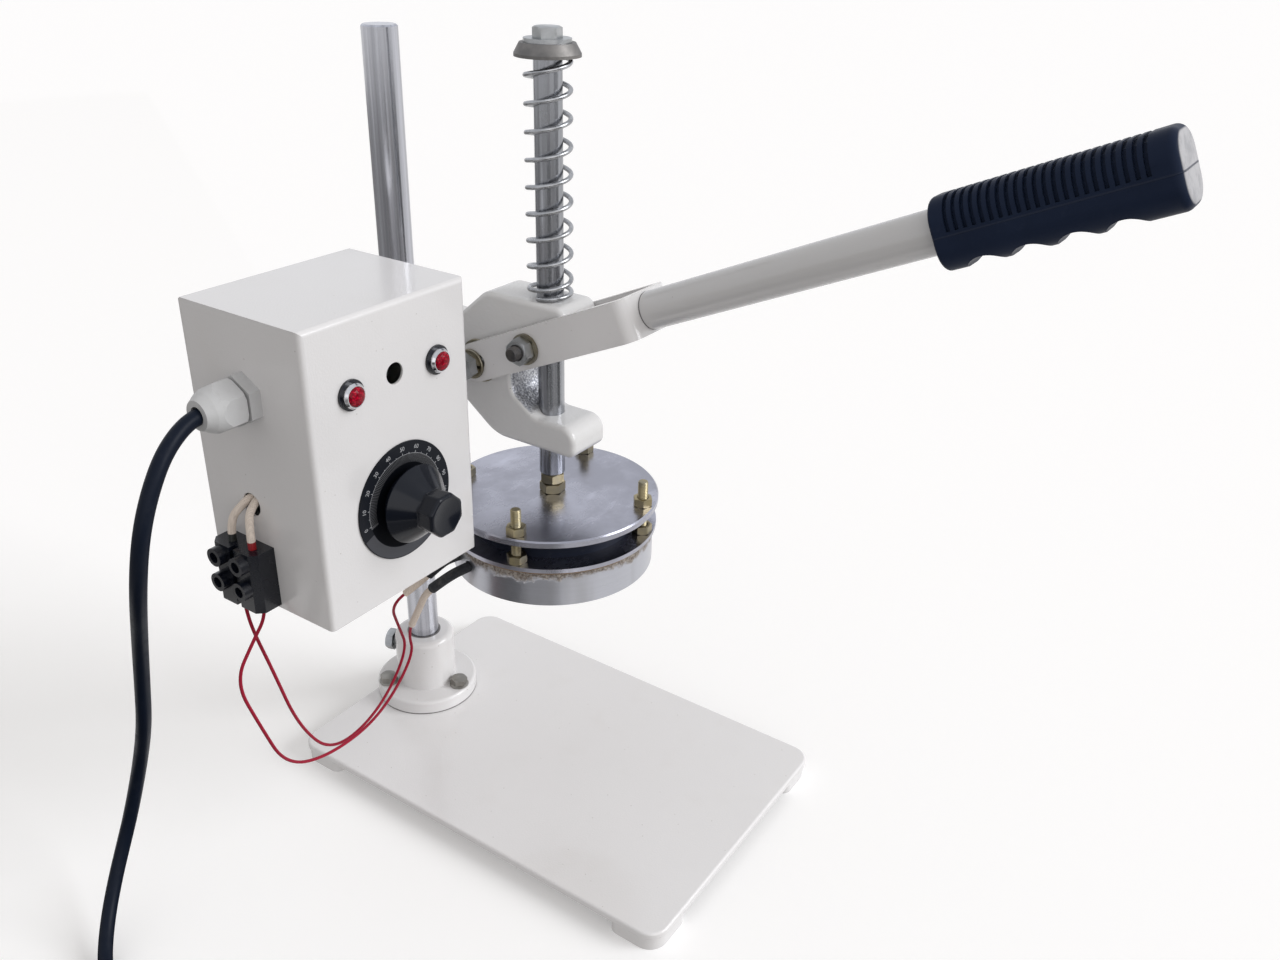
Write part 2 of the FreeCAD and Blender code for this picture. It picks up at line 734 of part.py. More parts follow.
def make_head():
    body = new_body("head_casting")
    side = outline(
        sketch(body, "YZ_Plane"),
        ("-head_front", "head_top"), ("top_back", "head_top"), ("web_start", "web_top"), ("column_y", "web_top"),
        ("column_y", "web_bottom"), ("web_start", "web_bottom"), ("heel_y", "foot_z"), ("-nose_front", "foot_z"),
        ("-nose_front", "guide_top"), ("0", "guide_top"), ("throat_back", "throat_low"),
        ("throat_back", "throat_high"), ("throat_back - (guide_under - throat_high)", "guide_under"),
        ("-head_front", "guide_under"),
    )
    pad(body, side, "head_width", "Symmetric")
    throat = ((0, "guide_top"), (size["throat_back"], "throat_low"), (size["throat_back"], "throat_high"),
              (size["throat_back"] - size["guide_under"] + size["throat_high"], "guide_under"))
    dress(body, "Fillet", "throat_round", lambda e: runs_along(e, "x") and any(
        close(middle(e).y, y) and close(middle(e).z, size[z]) for y, z in throat))
    corners = (("nose_round", -size["nose_front"], "guide_top"), ("chin_round", -size["nose_front"], "foot_z"),
               ("brow_round", -size["head_front"], "head_top"), ("chin_round", -size["head_front"], "guide_under"),
               ("shoulder_round", size["top_back"], "head_top"), ("shoulder_round", size["web_start"], "web_top"),
               ("heel_round", size["heel_y"], "foot_z"), ("shoulder_round", size["web_start"], "web_bottom"))
    for radius, y, z in corners:
        dress(body, "Fillet", radius, lambda e: runs_along(e, "x") and close(middle(e).y, y) and
              close(middle(e).z, size[z]))
    dress(body, "Fillet", "casting_round", lambda e: close(abs(middle(e).x), size["head_width"] / 2) and
          middle(e).y < size["column_y"] - 1 and not runs_along(e, "x"))
    pad(body, circle(sketch(body, "XY_Plane", "hub_bottom"), "0", "column_y", "hub_dia / 2"), "hub_top - hub_bottom")
    ears = rectangle(sketch(body, "XY_Plane", "hub_bottom"), "-ear_half", "ear_half", "column_y",
                     "column_y + hub_dia / 2 + ear_long")
    pad(body, ears, "hub_top - hub_bottom")
    back = size["column_y"] + size["hub_dia"] / 2 + size["ear_long"]
    dress(body, "Fillet", "casting_round", lambda e: runs_along(e, "x") and close(middle(e).y, back))
    bores = sketch(body, "XY_Plane")
    circle(bores, "0", "column_y", "column_dia / 2 + fit")
    circle(bores, "0", "0", "ram_dia / 2 + fit")
    pocket(body, bores)
    pocket(body, rectangle(sketch(body, "XY_Plane"), "-slit / 2", "slit / 2", "column_y",
                           "column_y + hub_dia / 2 + ear_long + slit"))
    cross = sketch(body, "YZ_Plane")
    circle(cross, "fulcrum_y", "fulcrum_z", "fulcrum_dia / 2 + bolt_gap")
    for z in CLAMP_HEIGHTS:
        circle(cross, "ear_y", z, "clamp_bolt_dia / 2 + bolt_gap")
    for z in BOX_BOLT_ZS:
        circle(cross, "box_bolt_y", z, "box_bolt_dia / 2 + bolt_gap")
    pocket(body, cross)
    keep("head_casting", body)

    bolts = []
    for z in CLAMP_HEIGHTS:
        bolts.append(joined(
            cylinder("clamp_bolt_dia / 2", "2 * ear_half + clamp_nut_high + 3", "-ear_half", "ear_y", z, ALONG_X),
            hexagon("clamp_head", "clamp_head_high", "-ear_half", "ear_y", z, AGAINST_X),
        ))
        bolts.append(less(
            hexagon("clamp_head", "clamp_nut_high", "ear_half", "ear_y", z, ALONG_X),
            cylinder("clamp_bolt_dia / 2", "clamp_nut_high", "ear_half", "ear_y", z, ALONG_X),
        ))
    keep("head_clamp_bolts", group(*bolts))


def make_fulcrum():
    """The bolt that the fork's slotted tails turn and slide on."""
    washers = []
    hole = "fulcrum_dia / 2"
    for sign, rotation in (("-", AGAINST_X), ("", ALONG_X)):
        at = ("fulcrum_y", "fulcrum_z", rotation)
        beyond = "(bolt_stack + outer_washer_thick)"
        spring = tube("lock_washer_dia / 2", hole, "lock_washer_thick", sign + beyond, *at)
        split = bind(doc.addObject("Part::Box", "split"), Length="2 * lock_washer_thick", Width="lock_washer_dia",
                     Height="lock_split")
        seat(split, "%s(%s + lock_washer_thick / 2) - lock_washer_thick" % (sign, beyond),
             "fulcrum_y - lock_washer_dia", "fulcrum_z - lock_split / 2")
        washers += [tube("fulcrum_washer / 2", hole, "inner_washer_thick", sign + "head_width / 2", *at),
                    tube("outer_washer_dia / 2", hole, "outer_washer_thick", sign + "bolt_stack", *at),
                    less(spring, split)]
    reach = "(bolt_stack + outer_washer_thick + lock_washer_thick)"
    bolt = joined(
        cylinder(hole, "2 * %s + fulcrum_nut_high + 1" % reach, "-" + reach, "fulcrum_y", "fulcrum_z", ALONG_X),
        hexagon("fulcrum_nut", "fulcrum_nut_high", "-" + reach, "fulcrum_y", "fulcrum_z", AGAINST_X),
    )
    nut = less(
        hexagon("fulcrum_nut", "fulcrum_nut_high", reach, "fulcrum_y", "fulcrum_z", ALONG_X),
        cylinder(hole, "fulcrum_nut_high", reach, "fulcrum_y", "fulcrum_z", ALONG_X),
    )
    keep("fulcrum_bolt", bolt)
    keep("fulcrum_nut", nut)
    keep("fulcrum_washers", group(*washers))


def make_ram():
    body = new_body("ram_shaft", z="ram_bottom")
    pad(body, circle(sketch(body, "XY_Plane"), "0", "0", "ram_dia / 2"), "ram_top - ram_bottom")
    dress(body, "Chamfer", "ram_chamfer", lambda e: e.Curve.TypeId == "Part::GeomCircle")
    pocket(body, circle(sketch(body, "YZ_Plane"), "0", "pin_z - ram_bottom", "pin_dia / 2 + fit"))
    pocket(body, circle(sketch(body, "XY_Plane"), "0", "0", "stud_dia / 2"), "2 * stud_in_ram")
    pocket(body, circle(sketch(body, "XY_Plane", "ram_top - ram_bottom"), "0", "0", "top_bolt_dia / 2"),
           "2 * top_bolt_long")
    keep("ram_shaft", body)

    washer_z = "(ram_top + cup_thick)"
    head_z = "(ram_top + cup_thick + top_washer_thick)"
    keep("top_bolt", joined(
        cylinder("top_bolt_dia / 2", "%s - ram_top + top_bolt_long" % head_z, z="ram_top - top_bolt_long"),
        hexagon("top_head", "top_head_high", z=head_z),
    ))
    keep("top_washer", tube("top_washer_dia / 2", "top_bolt_dia / 2", "top_washer_thick", z=washer_z))
    cup = new_body("spring_cup", z="ram_top")
    bore, flat, rim = "top_bolt_dia / 2", "cup_flat_dia / 2", "cup_dia / 2"
    spun(cup, outline(sketch(cup, "XZ_Plane"), (bore, "0"), (flat, "0"), (rim, "-cup_drop"),
                      (rim, "-cup_drop + cup_thick"), (flat, "cup_thick"), (bore, "cup_thick")))
    keep("spring_cup", cup)


def make_spring():
    """The return spring: its last turn closes on the head, its first one under the cup."""
    wire = size["spring_wire"]
    turns, closed = size["spring_turns"] + 2, 1.0
    rise = size["spring_end_pitch"]
    stand_off = wire / 2 + size["spring_gap"] + wire * rise / (math.pi * size["spring_dia"])
    low, high = size["head_top"] + stand_off, size["ram_top"] - stand_off
    open_rise = (high - low - 2 * closed * rise) / (turns - 2 * closed)

    def height(t):
        """End turns rise slowly, and the pitch grows over half a turn on each side."""
        blend = 0.5
        spare = 0.0
        for edge, sign in ((closed, 1), (turns - closed, -1)):
            u = min(max((t - edge + blend) / (2 * blend), 0), 1)
            area = 2 * blend * (u ** 3 - u ** 4 / 2) + max(t - edge - blend, 0)
            spare += sign * area * (open_rise - rise)
        return low + rise * t + spare

    def curve(t):
        angle = math.tau * t + math.pi
        radius = size["spring_dia"] / 2
        return Vector(radius * math.cos(angle), radius * math.sin(angle), height(t))

    line = Part.Wire(wound(curve, turns, wire, "return_spring"))
    keep("return_spring", in_code("return_spring", swept(line, wire)))


def make_ram_pin():
    """The bolt through the ram that the fork swings on."""
    hole = "pin_dia / 2"
    washers = [tube("pin_washer_dia / 2", hole, "pin_washer_thick", sign + "bolt_stack", "0", "pin_z", rotation)
               for sign, rotation in (("-", AGAINST_X), ("", ALONG_X))]
    face = "(bolt_stack + pin_washer_thick)"
    keep("ram_pin", joined(
        cylinder(hole, "2 * %s + pin_nut_high + pin_tip" % face, face, "0", "pin_z", AGAINST_X),
        hexagon("pin_nut", "pin_head_high", face, "0", "pin_z", ALONG_X),
    ))
    keep("ram_pin_washers", group(*washers))
    keep("ram_pin_nut", less(
        hexagon("pin_nut", "pin_nut_high", "-" + face, "0", "pin_z", AGAINST_X),
        cylinder(hole, "pin_nut_high", "-" + face, "0", "pin_z", AGAINST_X),
    ))


def post_holes(body, extra="bolt_gap"):
    holes = sketch(body, "XY_Plane")
    for turn in POSTS:
        circle(holes, polar("post_circle_dia", turn, "x"), polar("post_circle_dia", turn, "y"), "post_dia / 2 + " + extra)
    return holes


def make_heater():
    keep("heater_stud", cylinder("stud_dia / 2", "ram_bottom + stud_in_ram - carrier_low", z="carrier_low"))
    nuts = [tube_nut("jam_nut", "stud_dia", "jam_nut_high", z) for z in ("carrier_top", "(ram_bottom - jam_nut_high)")]
    keep("jam_nuts", group(*nuts))

    carrier = new_body("carrier_plate", z="carrier_low")
    rim = "carrier_dia / 2"
    spun(carrier, outline(sketch(carrier, "XZ_Plane"), ("stud_dia / 2", "0"), (rim, "0"), (rim, "carrier_thick"),
                          ("stud_dia / 2", "carrier_thick")))
    dress(carrier, "Chamfer", "carrier_chamfer", lambda e: e.Curve.TypeId == "Part::GeomCircle" and
          close(e.Curve.Radius, size["carrier_dia"] / 2))
    pocket(carrier, post_holes(carrier))
    keep("carrier_plate", carrier)

    posts, nuts = [], []
    for turn in POSTS:
        x, y = polar("post_circle_dia", turn, "x"), polar("post_circle_dia", turn, "y")
        posts.append(cylinder("post_dia / 2", "post_top - heater_top + post_in_heater", x, y,
                              "heater_top - post_in_heater"))
        for z in ("carrier_top", "cover_top"):
            nuts.append(tube_nut("post_nut", "post_dia", "post_nut_high", z, x, y))
    keep("carrier_studs", group(*posts))
    keep("carrier_nuts", group(*nuts))
    keep("insulating_disc", cylinder("insulator_dia / 2", "insulator_thick", z="cover_top"))

    for label, rim, thick, z in (("heater_cover", "cover_dia / 2", "cover_thick", "cover_low"),
                                 ("fibre_gasket", "gasket_dia / 2", "gasket_thick", "heater_top")):
        body = new_body(label, z=z)
        pad(body, circle(sketch(body, "XY_Plane"), "0", "0", rim), thick)
        pocket(body, post_holes(body))
        keep(label, body)

    heater = new_body("heater_body", z="heater_low")
    rim, cavity = "heater_dia / 2", "heater_cavity_dia / 2"
    spun(heater, outline(sketch(heater, "XZ_Plane"), ("0", "0"), (rim, "0"), (rim, "heater_high"),
                         (cavity, "heater_high"), (cavity, "heater_floor"), ("0", "heater_floor")))
    holes = sketch(heater, "XY_Plane", "heater_high")
    for turn in POSTS:
        circle(holes, polar("post_circle_dia", turn, "x"), polar("post_circle_dia", turn, "y"), "post_dia / 2")
    pocket(heater, holes, "2 * post_in_heater")
    lead_z = "heater_top - lead_drop"
    tools = [cylinder("lead_hole_dia / 2", "heater_dia", "0", "0", lead_z,
                      Rotation(Vector(0, 0, 1), turn).multiply(ALONG_X)) for turn in HEATER_LEAD_TURNS]
    keep("heater_body", less(heater, *tools))
    keep("heating_element", tube("element_dia / 2", "element_hole / 2", "element_thick",
                                 z="heater_low + heater_floor"))
    keep("release_sheet", cylinder("release_dia / 2", "release_thick", z="heater_low - release_thick"))

    black, cream = size["black_sleeve_dia"], size["cream_sleeve_dia"]
    keep("black_sleeves", group(in_code("sleeve", swept(round_path(BLACK_SLEEVE_A, "black sleeve"), black)),
                                in_code("sleeve", swept(round_path(BLACK_SLEEVE_B, "black sleeve"), black))))
    keep("cream_sleeves", group(in_code("sleeve", swept(round_path(CREAM_SLEEVE_A, "cream sleeve"), cream)),
                                in_code("sleeve", swept(round_path(CREAM_SLEEVE_B, "cream sleeve"), cream))))


def raise_lever(thing):
    """The lever is drawn level, pointing to -Y from the ram pin, then tilted up about that pin."""
    return seat(thing, z="pin_z", rotation=Rotation(Vector(-1, 0, 0), size["lever_angle"]))


def make_lever():
    fork = new_body("lever_fork")
    pad(fork, rectangle(sketch(fork, "XY_Plane"), "-leg_out", "leg_out", "-fork_web", "fork_tail"), "fork_high",
        "Symmetric")
    web = -size["fork_web"]
    dress(fork, "Fillet", "fork_bend", lambda e: runs_along(e, "z") and close(middle(e).y, web))
    pocket(fork, rectangle(sketch(fork, "XY_Plane"), "-leg_in", "leg_in", "-fork_web + fork_thick",
                           "fork_tail + fork_thick"))
    dress(fork, "Fillet", "fork_bend - fork_thick", lambda e: runs_along(e, "z") and
          close(middle(e).y, web + size["fork_thick"]))
    dress(fork, "Fillet", "fork_high / 2 - 0.5", lambda e: runs_along(e, "x") and
          close(middle(e).y, size["fork_tail"]))
    holes = sketch(fork, "YZ_Plane")
    circle(holes, "0", "0", "pin_dia / 2 + fit")
    pocket(fork, holes)
    mid = "(fulcrum_y / cos(lever_angle) - slot_long / 2 + 2)"
    half = "(fulcrum_dia / 2 + slot_play)"
    slot = sketch(fork, "YZ_Plane")
    rectangle(slot, "%s - slot_long / 2" % mid, "%s + slot_long / 2" % mid, "-" + half, half)
    pocket(fork, slot)
    for side in ("-", "+"):
        pocket(fork, circle(sketch(fork, "YZ_Plane"), "%s %s slot_long / 2" % (mid, side), "0", half))
    keep("lever_fork", raise_lever(fork))

    rod = new_body("lever_tube")
    wall = sketch(rod, "XZ_Plane", "fork_web")
    circle(wall, "0", "0", "tube_dia / 2")
    circle(wall, "0", "0", "tube_dia / 2 - tube_wall")
    pad(rod, wall, "tube_end - fork_web")
    keep("lever_tube", raise_lever(rod))

    grip = new_body("grip")
    pad(grip, rectangle(sketch(grip, "XZ_Plane", "grip_start"), "-grip_half", "grip_half", "-grip_down", "grip_up"),
        "grip_end - grip_start")
    dress(grip, "Fillet", "grip_corner", lambda e: runs_along(e, "y"))
    for radius, end in (("grip_end_round", -size["grip_end"]), ("grip_end_round / 2", -size["grip_start"])):
        dress(grip, "Fillet", radius, lambda e: close(middle(e).y, end) and close(e.Vertexes[0].Y, end))
    for i in range(FINGERS):
        groove = sketch(grip, "YZ_Plane")
        pocket(grip, circle(groove, "-grip_start - finger_start - %d * finger_pitch" % i,
                            "finger_depth - grip_down - finger_radius", "finger_radius"))
    ribs = sketch(grip, "XZ_Plane", "grip_start + rib_start")
    side, crown = "(grip_half + rib_depth)", "(grip_up + rib_depth)"
    core, bend = "(grip_half - rib_depth)", "(grip_corner - rib_depth)"
    right = [("grip_half - grip_corner + %s * cos(%d)" % (bend, turn),
              "grip_up - grip_corner + %s * sin(%d)" % (bend, turn)) for turn in (0, 30, 60, 90)]
    left = [("-(%s)" % x, z) for x, z in right]
    outline(ribs, ("-" + side, "0"), ("-" + core, "0"), *left, *reversed(right), (core, "0"), (side, "0"),
            (side, crown), ("-" + side, crown))
    cut = pocket(grip, ribs, "rib_cut", "One side", True)
    row = grip.newObject("PartDesign::LinearPattern", "grip_rib_row")
    row.Originals = [cut]
    row.Direction = (next(f for f in grip.Origin.OriginFeatures if f.Role == "Y_Axis"), [""])
    row.Reversed = True
    row.setExpression("Length", bound("(grip_ribs - 1) * rib_pitch"))
    row.setExpression("Occurrences", bound("grip_ribs"))
    grip.Tip = row
    doc.recompute()
    pocket(grip, circle(sketch(grip, "XZ_Plane", "grip_start"), "0", "0", "tube_dia / 2"),
           "tube_end - grip_start", "One side", True)
    keep("grip", raise_lever(grip))


def make_box():
    shell = new_body("box_shell")
    pad(shell, rectangle(sketch(shell, "XY_Plane", "box_bottom"), "box_left", "-box_right", "box_front", "box_back"),
        "box_high")
    front, top = size["box_front"], size["box_bottom"] + size["box_high"]
    dress(shell, "Fillet", "box_bend", lambda e: (runs_along(e, "z") and close(middle(e).y, front)) or
          (runs_along(e, "x") and close(middle(e).y, front) and close(middle(e).z, top)))
    inside = rectangle(sketch(shell, "XZ_Plane", "-box_back"), "box_left + sheet_thick",
                       "-box_right - sheet_thick", "box_bottom + sheet_thick", "box_top - sheet_thick")
    pocket(shell, inside, "box_deep - sheet_thick", "One side", True)
    face = sketch(shell, "XZ_Plane", "-box_front")
    for shift in ("- lamp_half", "+ lamp_half"):
        circle(face, "-face_x " + shift, "lamp_z", "lamp_hole_dia / 2")
    circle(face, "-face_x", "lamp_z + bezel_high / 2", "spare_hole_dia / 2")
    circle(face, "-face_x", "dial_z", "bush_dia / 2 + bolt_gap")
    pocket(shell, face, "4 * sheet_thick")
    left = sketch(shell, "YZ_Plane", "box_left")
    circle(left, "gland_y", "gland_z", "gland_thread_dia / 2 + bolt_gap")
    circle(left, "lead_hole_y", "lead_hole_z", "wall_hole_dia / 2")
    pocket(shell, left, "4 * sheet_thick")
    right = sketch(shell, "YZ_Plane", "-box_right")
    for z in BOX_BOLT_ZS:
        circle(right, "box_bolt_y", z, "box_bolt_dia / 2 + bolt_gap")
    for z in COVER_SCREW_ZS:
        circle(right, "cover_screw_y", z, "cover_screw_dia / 2 + bolt_gap")
    pocket(shell, right, "4 * sheet_thick")
    under = sketch(shell, "XY_Plane", "box_bottom")
    for x in COVER_SCREW_XS:
        circle(under, x, "cover_screw_y", "cover_screw_dia / 2 + bolt_gap")
    pocket(shell, under, "4 * sheet_thick")
    keep("box_shell", shell)

    cover = new_body("box_cover")
    gap = "(sheet_thick + cover_gap)"
    tray = rectangle(sketch(cover, "XZ_Plane", "-(box_back + cover_stand)"), "box_left + " + gap,
                     "-box_right - " + gap, "box_bottom + " + gap, "box_top - " + gap)
    pad(cover, tray, "cover_stand + cover_lap")
    gap = "(2 * sheet_thick + cover_gap)"
    hollow = rectangle(sketch(cover, "XZ_Plane", "-(box_back + cover_stand - sheet_thick)"),
                       "box_left + " + gap, "-box_right - " + gap, "box_bottom + " + gap,
                       "box_top - " + gap)
    pocket(cover, hollow, "cover_stand + cover_lap", "One side", True)
    right = sketch(cover, "YZ_Plane", "-box_right")
    for z in COVER_SCREW_ZS:
        circle(right, "cover_screw_y", z, "cover_screw_dia / 2 + bolt_gap")
    pocket(cover, right, "8 * sheet_thick")
    under = sketch(cover, "XY_Plane", "box_bottom")
    for x in COVER_SCREW_XS:
        circle(under, x, "cover_screw_y", "cover_screw_dia / 2 + bolt_gap")
    pocket(cover, under, "8 * sheet_thick")
    keep("box_cover", cover)

    screws = []
    long = "2 * sheet_thick + cover_gap + 3"
    for z in COVER_SCREW_ZS:
        screws.append(joined(
            cylinder("cover_screw_dia / 2", long, "-box_right", "cover_screw_y", z, AGAINST_X),
            cylinder("cover_screw_head / 2", "cover_screw_high", "-box_right", "cover_screw_y", z, ALONG_X),
        ))
    for x in COVER_SCREW_XS:
        screws.append(joined(
            cylinder("cover_screw_dia / 2", long, x, "cover_screw_y", "box_bottom"),
            cylinder("cover_screw_head / 2", "cover_screw_high", x, "cover_screw_y", "box_bottom - cover_screw_high"),
        ))
    keep("cover_screws", group(*screws))

    spacers, bolts = [], []
    gap = "box_right - head_width / 2"
    for z in BOX_BOLT_ZS:
        at = ("box_bolt_y", z)
        spacers.append(tube("spacer_dia / 2", "box_bolt_dia / 2 + bolt_gap", gap, "-head_width / 2", *at, AGAINST_X))
        bolts.append(joined(
            cylinder("box_bolt_dia / 2", "%s + sheet_thick + box_bolt_in" % gap, "-box_right - sheet_thick", *at,
                     ALONG_X),
            hexagon("box_bolt_head", "box_bolt_head_high", "-box_right - sheet_thick", *at, AGAINST_X),
        ))
    keep("box_spacers", group(*spacers))
    keep("box_bolts", group(*bolts))


def spun_piece(label, x, y, z, rotation, *points):
    """A turned piece, drawn as (radius, height) and then laid along its axis."""
    body = new_body(label)
    spun(body, outline(sketch(body, "XZ_Plane"), *points))
    seat(body, x, y, z, rotation)
    return body


def make_panel():
    washers, bezels, lenses = [], [], []
    for shift in ("- lamp_half", "+ lamp_half"):
        x = "-face_x " + shift
        washers.append(tube("lamp_washer_dia / 2", "lamp_hole_dia / 2", "lamp_washer_thick", x, "box_front", "lamp_z",
                            AGAINST_Y))
        neck, rim, hole = "(lamp_hole_dia / 2 - bolt_gap)", "bezel_dia / 2", "lens_dia / 2"
        bezels.append(spun_piece("lamp_bezel", x, "box_front - lamp_washer_thick", "lamp_z", AGAINST_Y,
                                 ("0", "-bezel_neck_long"), (neck, "-bezel_neck_long"), (neck, "0"), (rim, "0"),
                                 (rim, "bezel_high * 0.6"), ("%s + 0.4" % hole, "bezel_high"), (hole, "bezel_high"),
                                 (hole, "bezel_high * 0.3"), ("0", "bezel_high * 0.3")))
        lenses.append(spun_piece("lamp_lens", x, "box_front - lamp_washer_thick", "lamp_z", AGAINST_Y,
                                 ("0", "bezel_high * 0.3"), (hole, "bezel_high * 0.3"), (hole, "bezel_high"),
                                 (hole + " * 0.7", "bezel_high + lens_stand * 0.8"), ("0", "bezel_high + lens_stand")))
    keep("lamp_washers", group(*washers))
    keep("lamp_bezels", group(*bezels))
    keep("lamp_lenses", group(*lenses))

    keep("dial_plate", tube("dial_dia / 2", "bush_dia / 2 + bolt_gap", "dial_thick", "-face_x", "box_front", "dial_z",
                            AGAINST_Y))
    out = "(box_front - dial_thick - bush_long)"
    inner = "(box_front + sheet_thick)"
    block = bind(doc.addObject("Part::Box", "block"), Length="regulator_side", Width="regulator_deep",
                 Height="regulator_high")
    seat(block, "-face_x - regulator_side / 2", inner, "dial_z - regulator_high / 2")
    bush = cylinder("bush_dia / 2", "%s - %s" % (inner, out), "-face_x", out, "dial_z", ALONG_Y)
    bore = cylinder("shaft_dia / 2 + fit", "%s - %s + regulator_deep / 2" % (inner, out), "-face_x", out, "dial_z",
                    ALONG_Y)
    keep("regulator", less(joined(block, bush), bore))
    base = "(box_front - dial_thick - knob_gap)"
    keep("regulator_shaft", cylinder("shaft_dia / 2", "%s + regulator_deep / 2 - (%s - knob_high + 6)" % (inner, base),
                                     "-face_x", base + " - knob_high + 6", "dial_z", ALONG_Y))

    knob = new_body("knob")
    skirt, top, recess = "skirt_dia / 2", "skirt_top_dia / 2", "knob_recess_dia / 2"
    shaft = "shaft_dia / 2"
    hub = "knob_hub_dia / 2"
    spun(knob, outline(sketch(knob, "XZ_Plane"), (shaft, "knob_recess"), (recess, "knob_recess"), (recess, "0"),
                       (hub, "0"), (hub, "skirt_low"), (skirt, "skirt_low"), (skirt, "skirt_low + skirt_rim"),
                       (top, "skirt_high"), (shaft, "skirt_high")))
    prism = sketch(knob, "XY_Plane", "skirt_high")
    corner = "(knob_flats / 2 / cos(22.5))"
    outline(prism, *[("%s * cos(%s)" % (corner, 22.5 + 45 * i), "%s * sin(%s)" % (corner, 22.5 + 45 * i))
                     for i in range(8)])
    grip = pad(knob, prism, "knob_high - skirt_high")
    grip.TaperAngle = -2
    doc.recompute()
    high = size["knob_high"]
    dress(knob, "Fillet", "1.5", lambda e: close(middle(e).z, high))
    pocket(knob, circle(sketch(knob, "XY_Plane", "skirt_high - 1"), "0", "0", shaft), "knob_high - skirt_high - 5",
           "One side", True)
    seat(knob, "-face_x", base, "dial_z", AGAINST_Y)
    keep("knob", knob)


def make_gland():
    side = ("gland_y", "gland_z", AGAINST_X)
    hole = "cord_dia / 2 + cord_gap"
    keep("gland_body", joined(
        hexagon("gland_flats", "gland_base_high", "box_left", *side),
        cylinder("gland_thread_dia / 2", "gland_inside + sheet_thick + gland_base_high + gland_seal",
                 "box_left + sheet_thick + gland_inside", *side),
    ))
    keep("gland_locknut", less(
        hexagon("locknut_flats", "locknut_high", "box_left + sheet_thick + locknut_high", *side),
        cylinder("gland_thread_dia / 2", "locknut_high", "box_left + sheet_thick + locknut_high", *side),
    ))
    nut = new_body("gland_nut")
    flats, mouth = "(gland_nut_flats / sqrt(3))", "gland_mouth_dia / 2"
    seal = "(gland_seal - gland_nut_gap)"
    spun(nut, outline(sketch(nut, "XZ_Plane"), ("gland_thread_dia / 2", "0"), (flats + " - 1", "0"), (flats, "1"),
                      (flats, "gland_nut_high * 0.45"), (flats + " - 2.6", "gland_nut_high * 0.78"),
                      (mouth, "gland_nut_high"), (hole, "gland_nut_high"), (hole, seal),
                      ("gland_thread_dia / 2", seal)))
    at = "box_left - gland_base_high - gland_nut_gap"
    seat(nut, at, "gland_y", "gland_z", AGAINST_X)
    facets = doc.addObject("Part::MultiCommon", "facets")
    facets.Shapes = [nut, hexagon("gland_nut_flats", "gland_nut_high", at, *side)]
    keep("gland_nut", facets)


def make_terminals():
    block = new_body("terminal_block")
    deep = "block_deep"
    pad(block, rectangle(sketch(block, "YZ_Plane", "box_left"), "block_y", "block_y + block_wide", "block_low",
                         "block_low + block_high"), deep, reverse=True)
    face = -(size["box_right"] + size["box_width"]) - size["block_deep"]
    dress(block, "Chamfer", "block_chamfer", lambda e: runs_along(e, "z") and close(middle(e).x, face))
    towers = sketch(block, "YZ_Plane", "box_left - block_deep")
    for y in TOWER_YS:
        for z in TOWER_ZS:
            circle(towers, y, z, "tower_dia / 2")
    pad(block, towers, "tower_high", reverse=True)
    bores = sketch(block, "YZ_Plane", "box_left - block_deep - tower_high")
    for y in TOWER_YS:
        for z in TOWER_ZS:
            circle(bores, y, z, "tower_bore / 2")
    pocket(block, bores, "2 * tower_bore_deep")
    waist = sketch(block, "XY_Plane")
    mid = "(block_y + block_wide / 2)"
    rectangle(waist, "box_left - block_deep - 1", "box_left - block_deep + block_chamfer", mid + " - 1.5",
              mid + " + 1.5")
    pocket(block, waist)
    keep("terminal_block", block)
    tip = "box_left - block_deep - tower_high + tower_bore_deep"
    screws = [cylinder("tower_screw_dia / 2", "tower_screw_high", tip, y, z, AGAINST_X)
              for y in TOWER_YS for z in TOWER_ZS]
    keep("terminal_screws", group(*screws))


def coil_curve():
    """Flat loops of the put-away cord: inward, up in half a turn, and outward again on top."""
    last, before = Vector(*CORD_DROP[-1]), Vector(*CORD_DROP[-2])
    outer, pitch, loops = size["coil_outer"], size["coil_pitch"], size["coil_turns"]
    lean = math.degrees(math.atan2(pitch, math.tau * outer))
    along = (last - before).normalize()
    turned = Rotation(Vector(0, 0, 1), lean).multVec(along)
    side = Vector(turned.y, -turned.x, 0)
    centre = last + along * size["cord_dia"] + side * outer
    start = math.atan2(-side.y, -side.x)

    def curve(t):
        inward = min(t, loops)
        climb = min(max(t - loops, 0), 0.5) * 2
        outward = max(t - loops - 0.5, 0)
        radius = outer + pitch * (outward - inward)
        angle = start - math.tau * t
        return centre + Vector(radius * math.cos(angle), radius * math.sin(angle), size["coil_layer"] * climb)

    return curve, centre, start


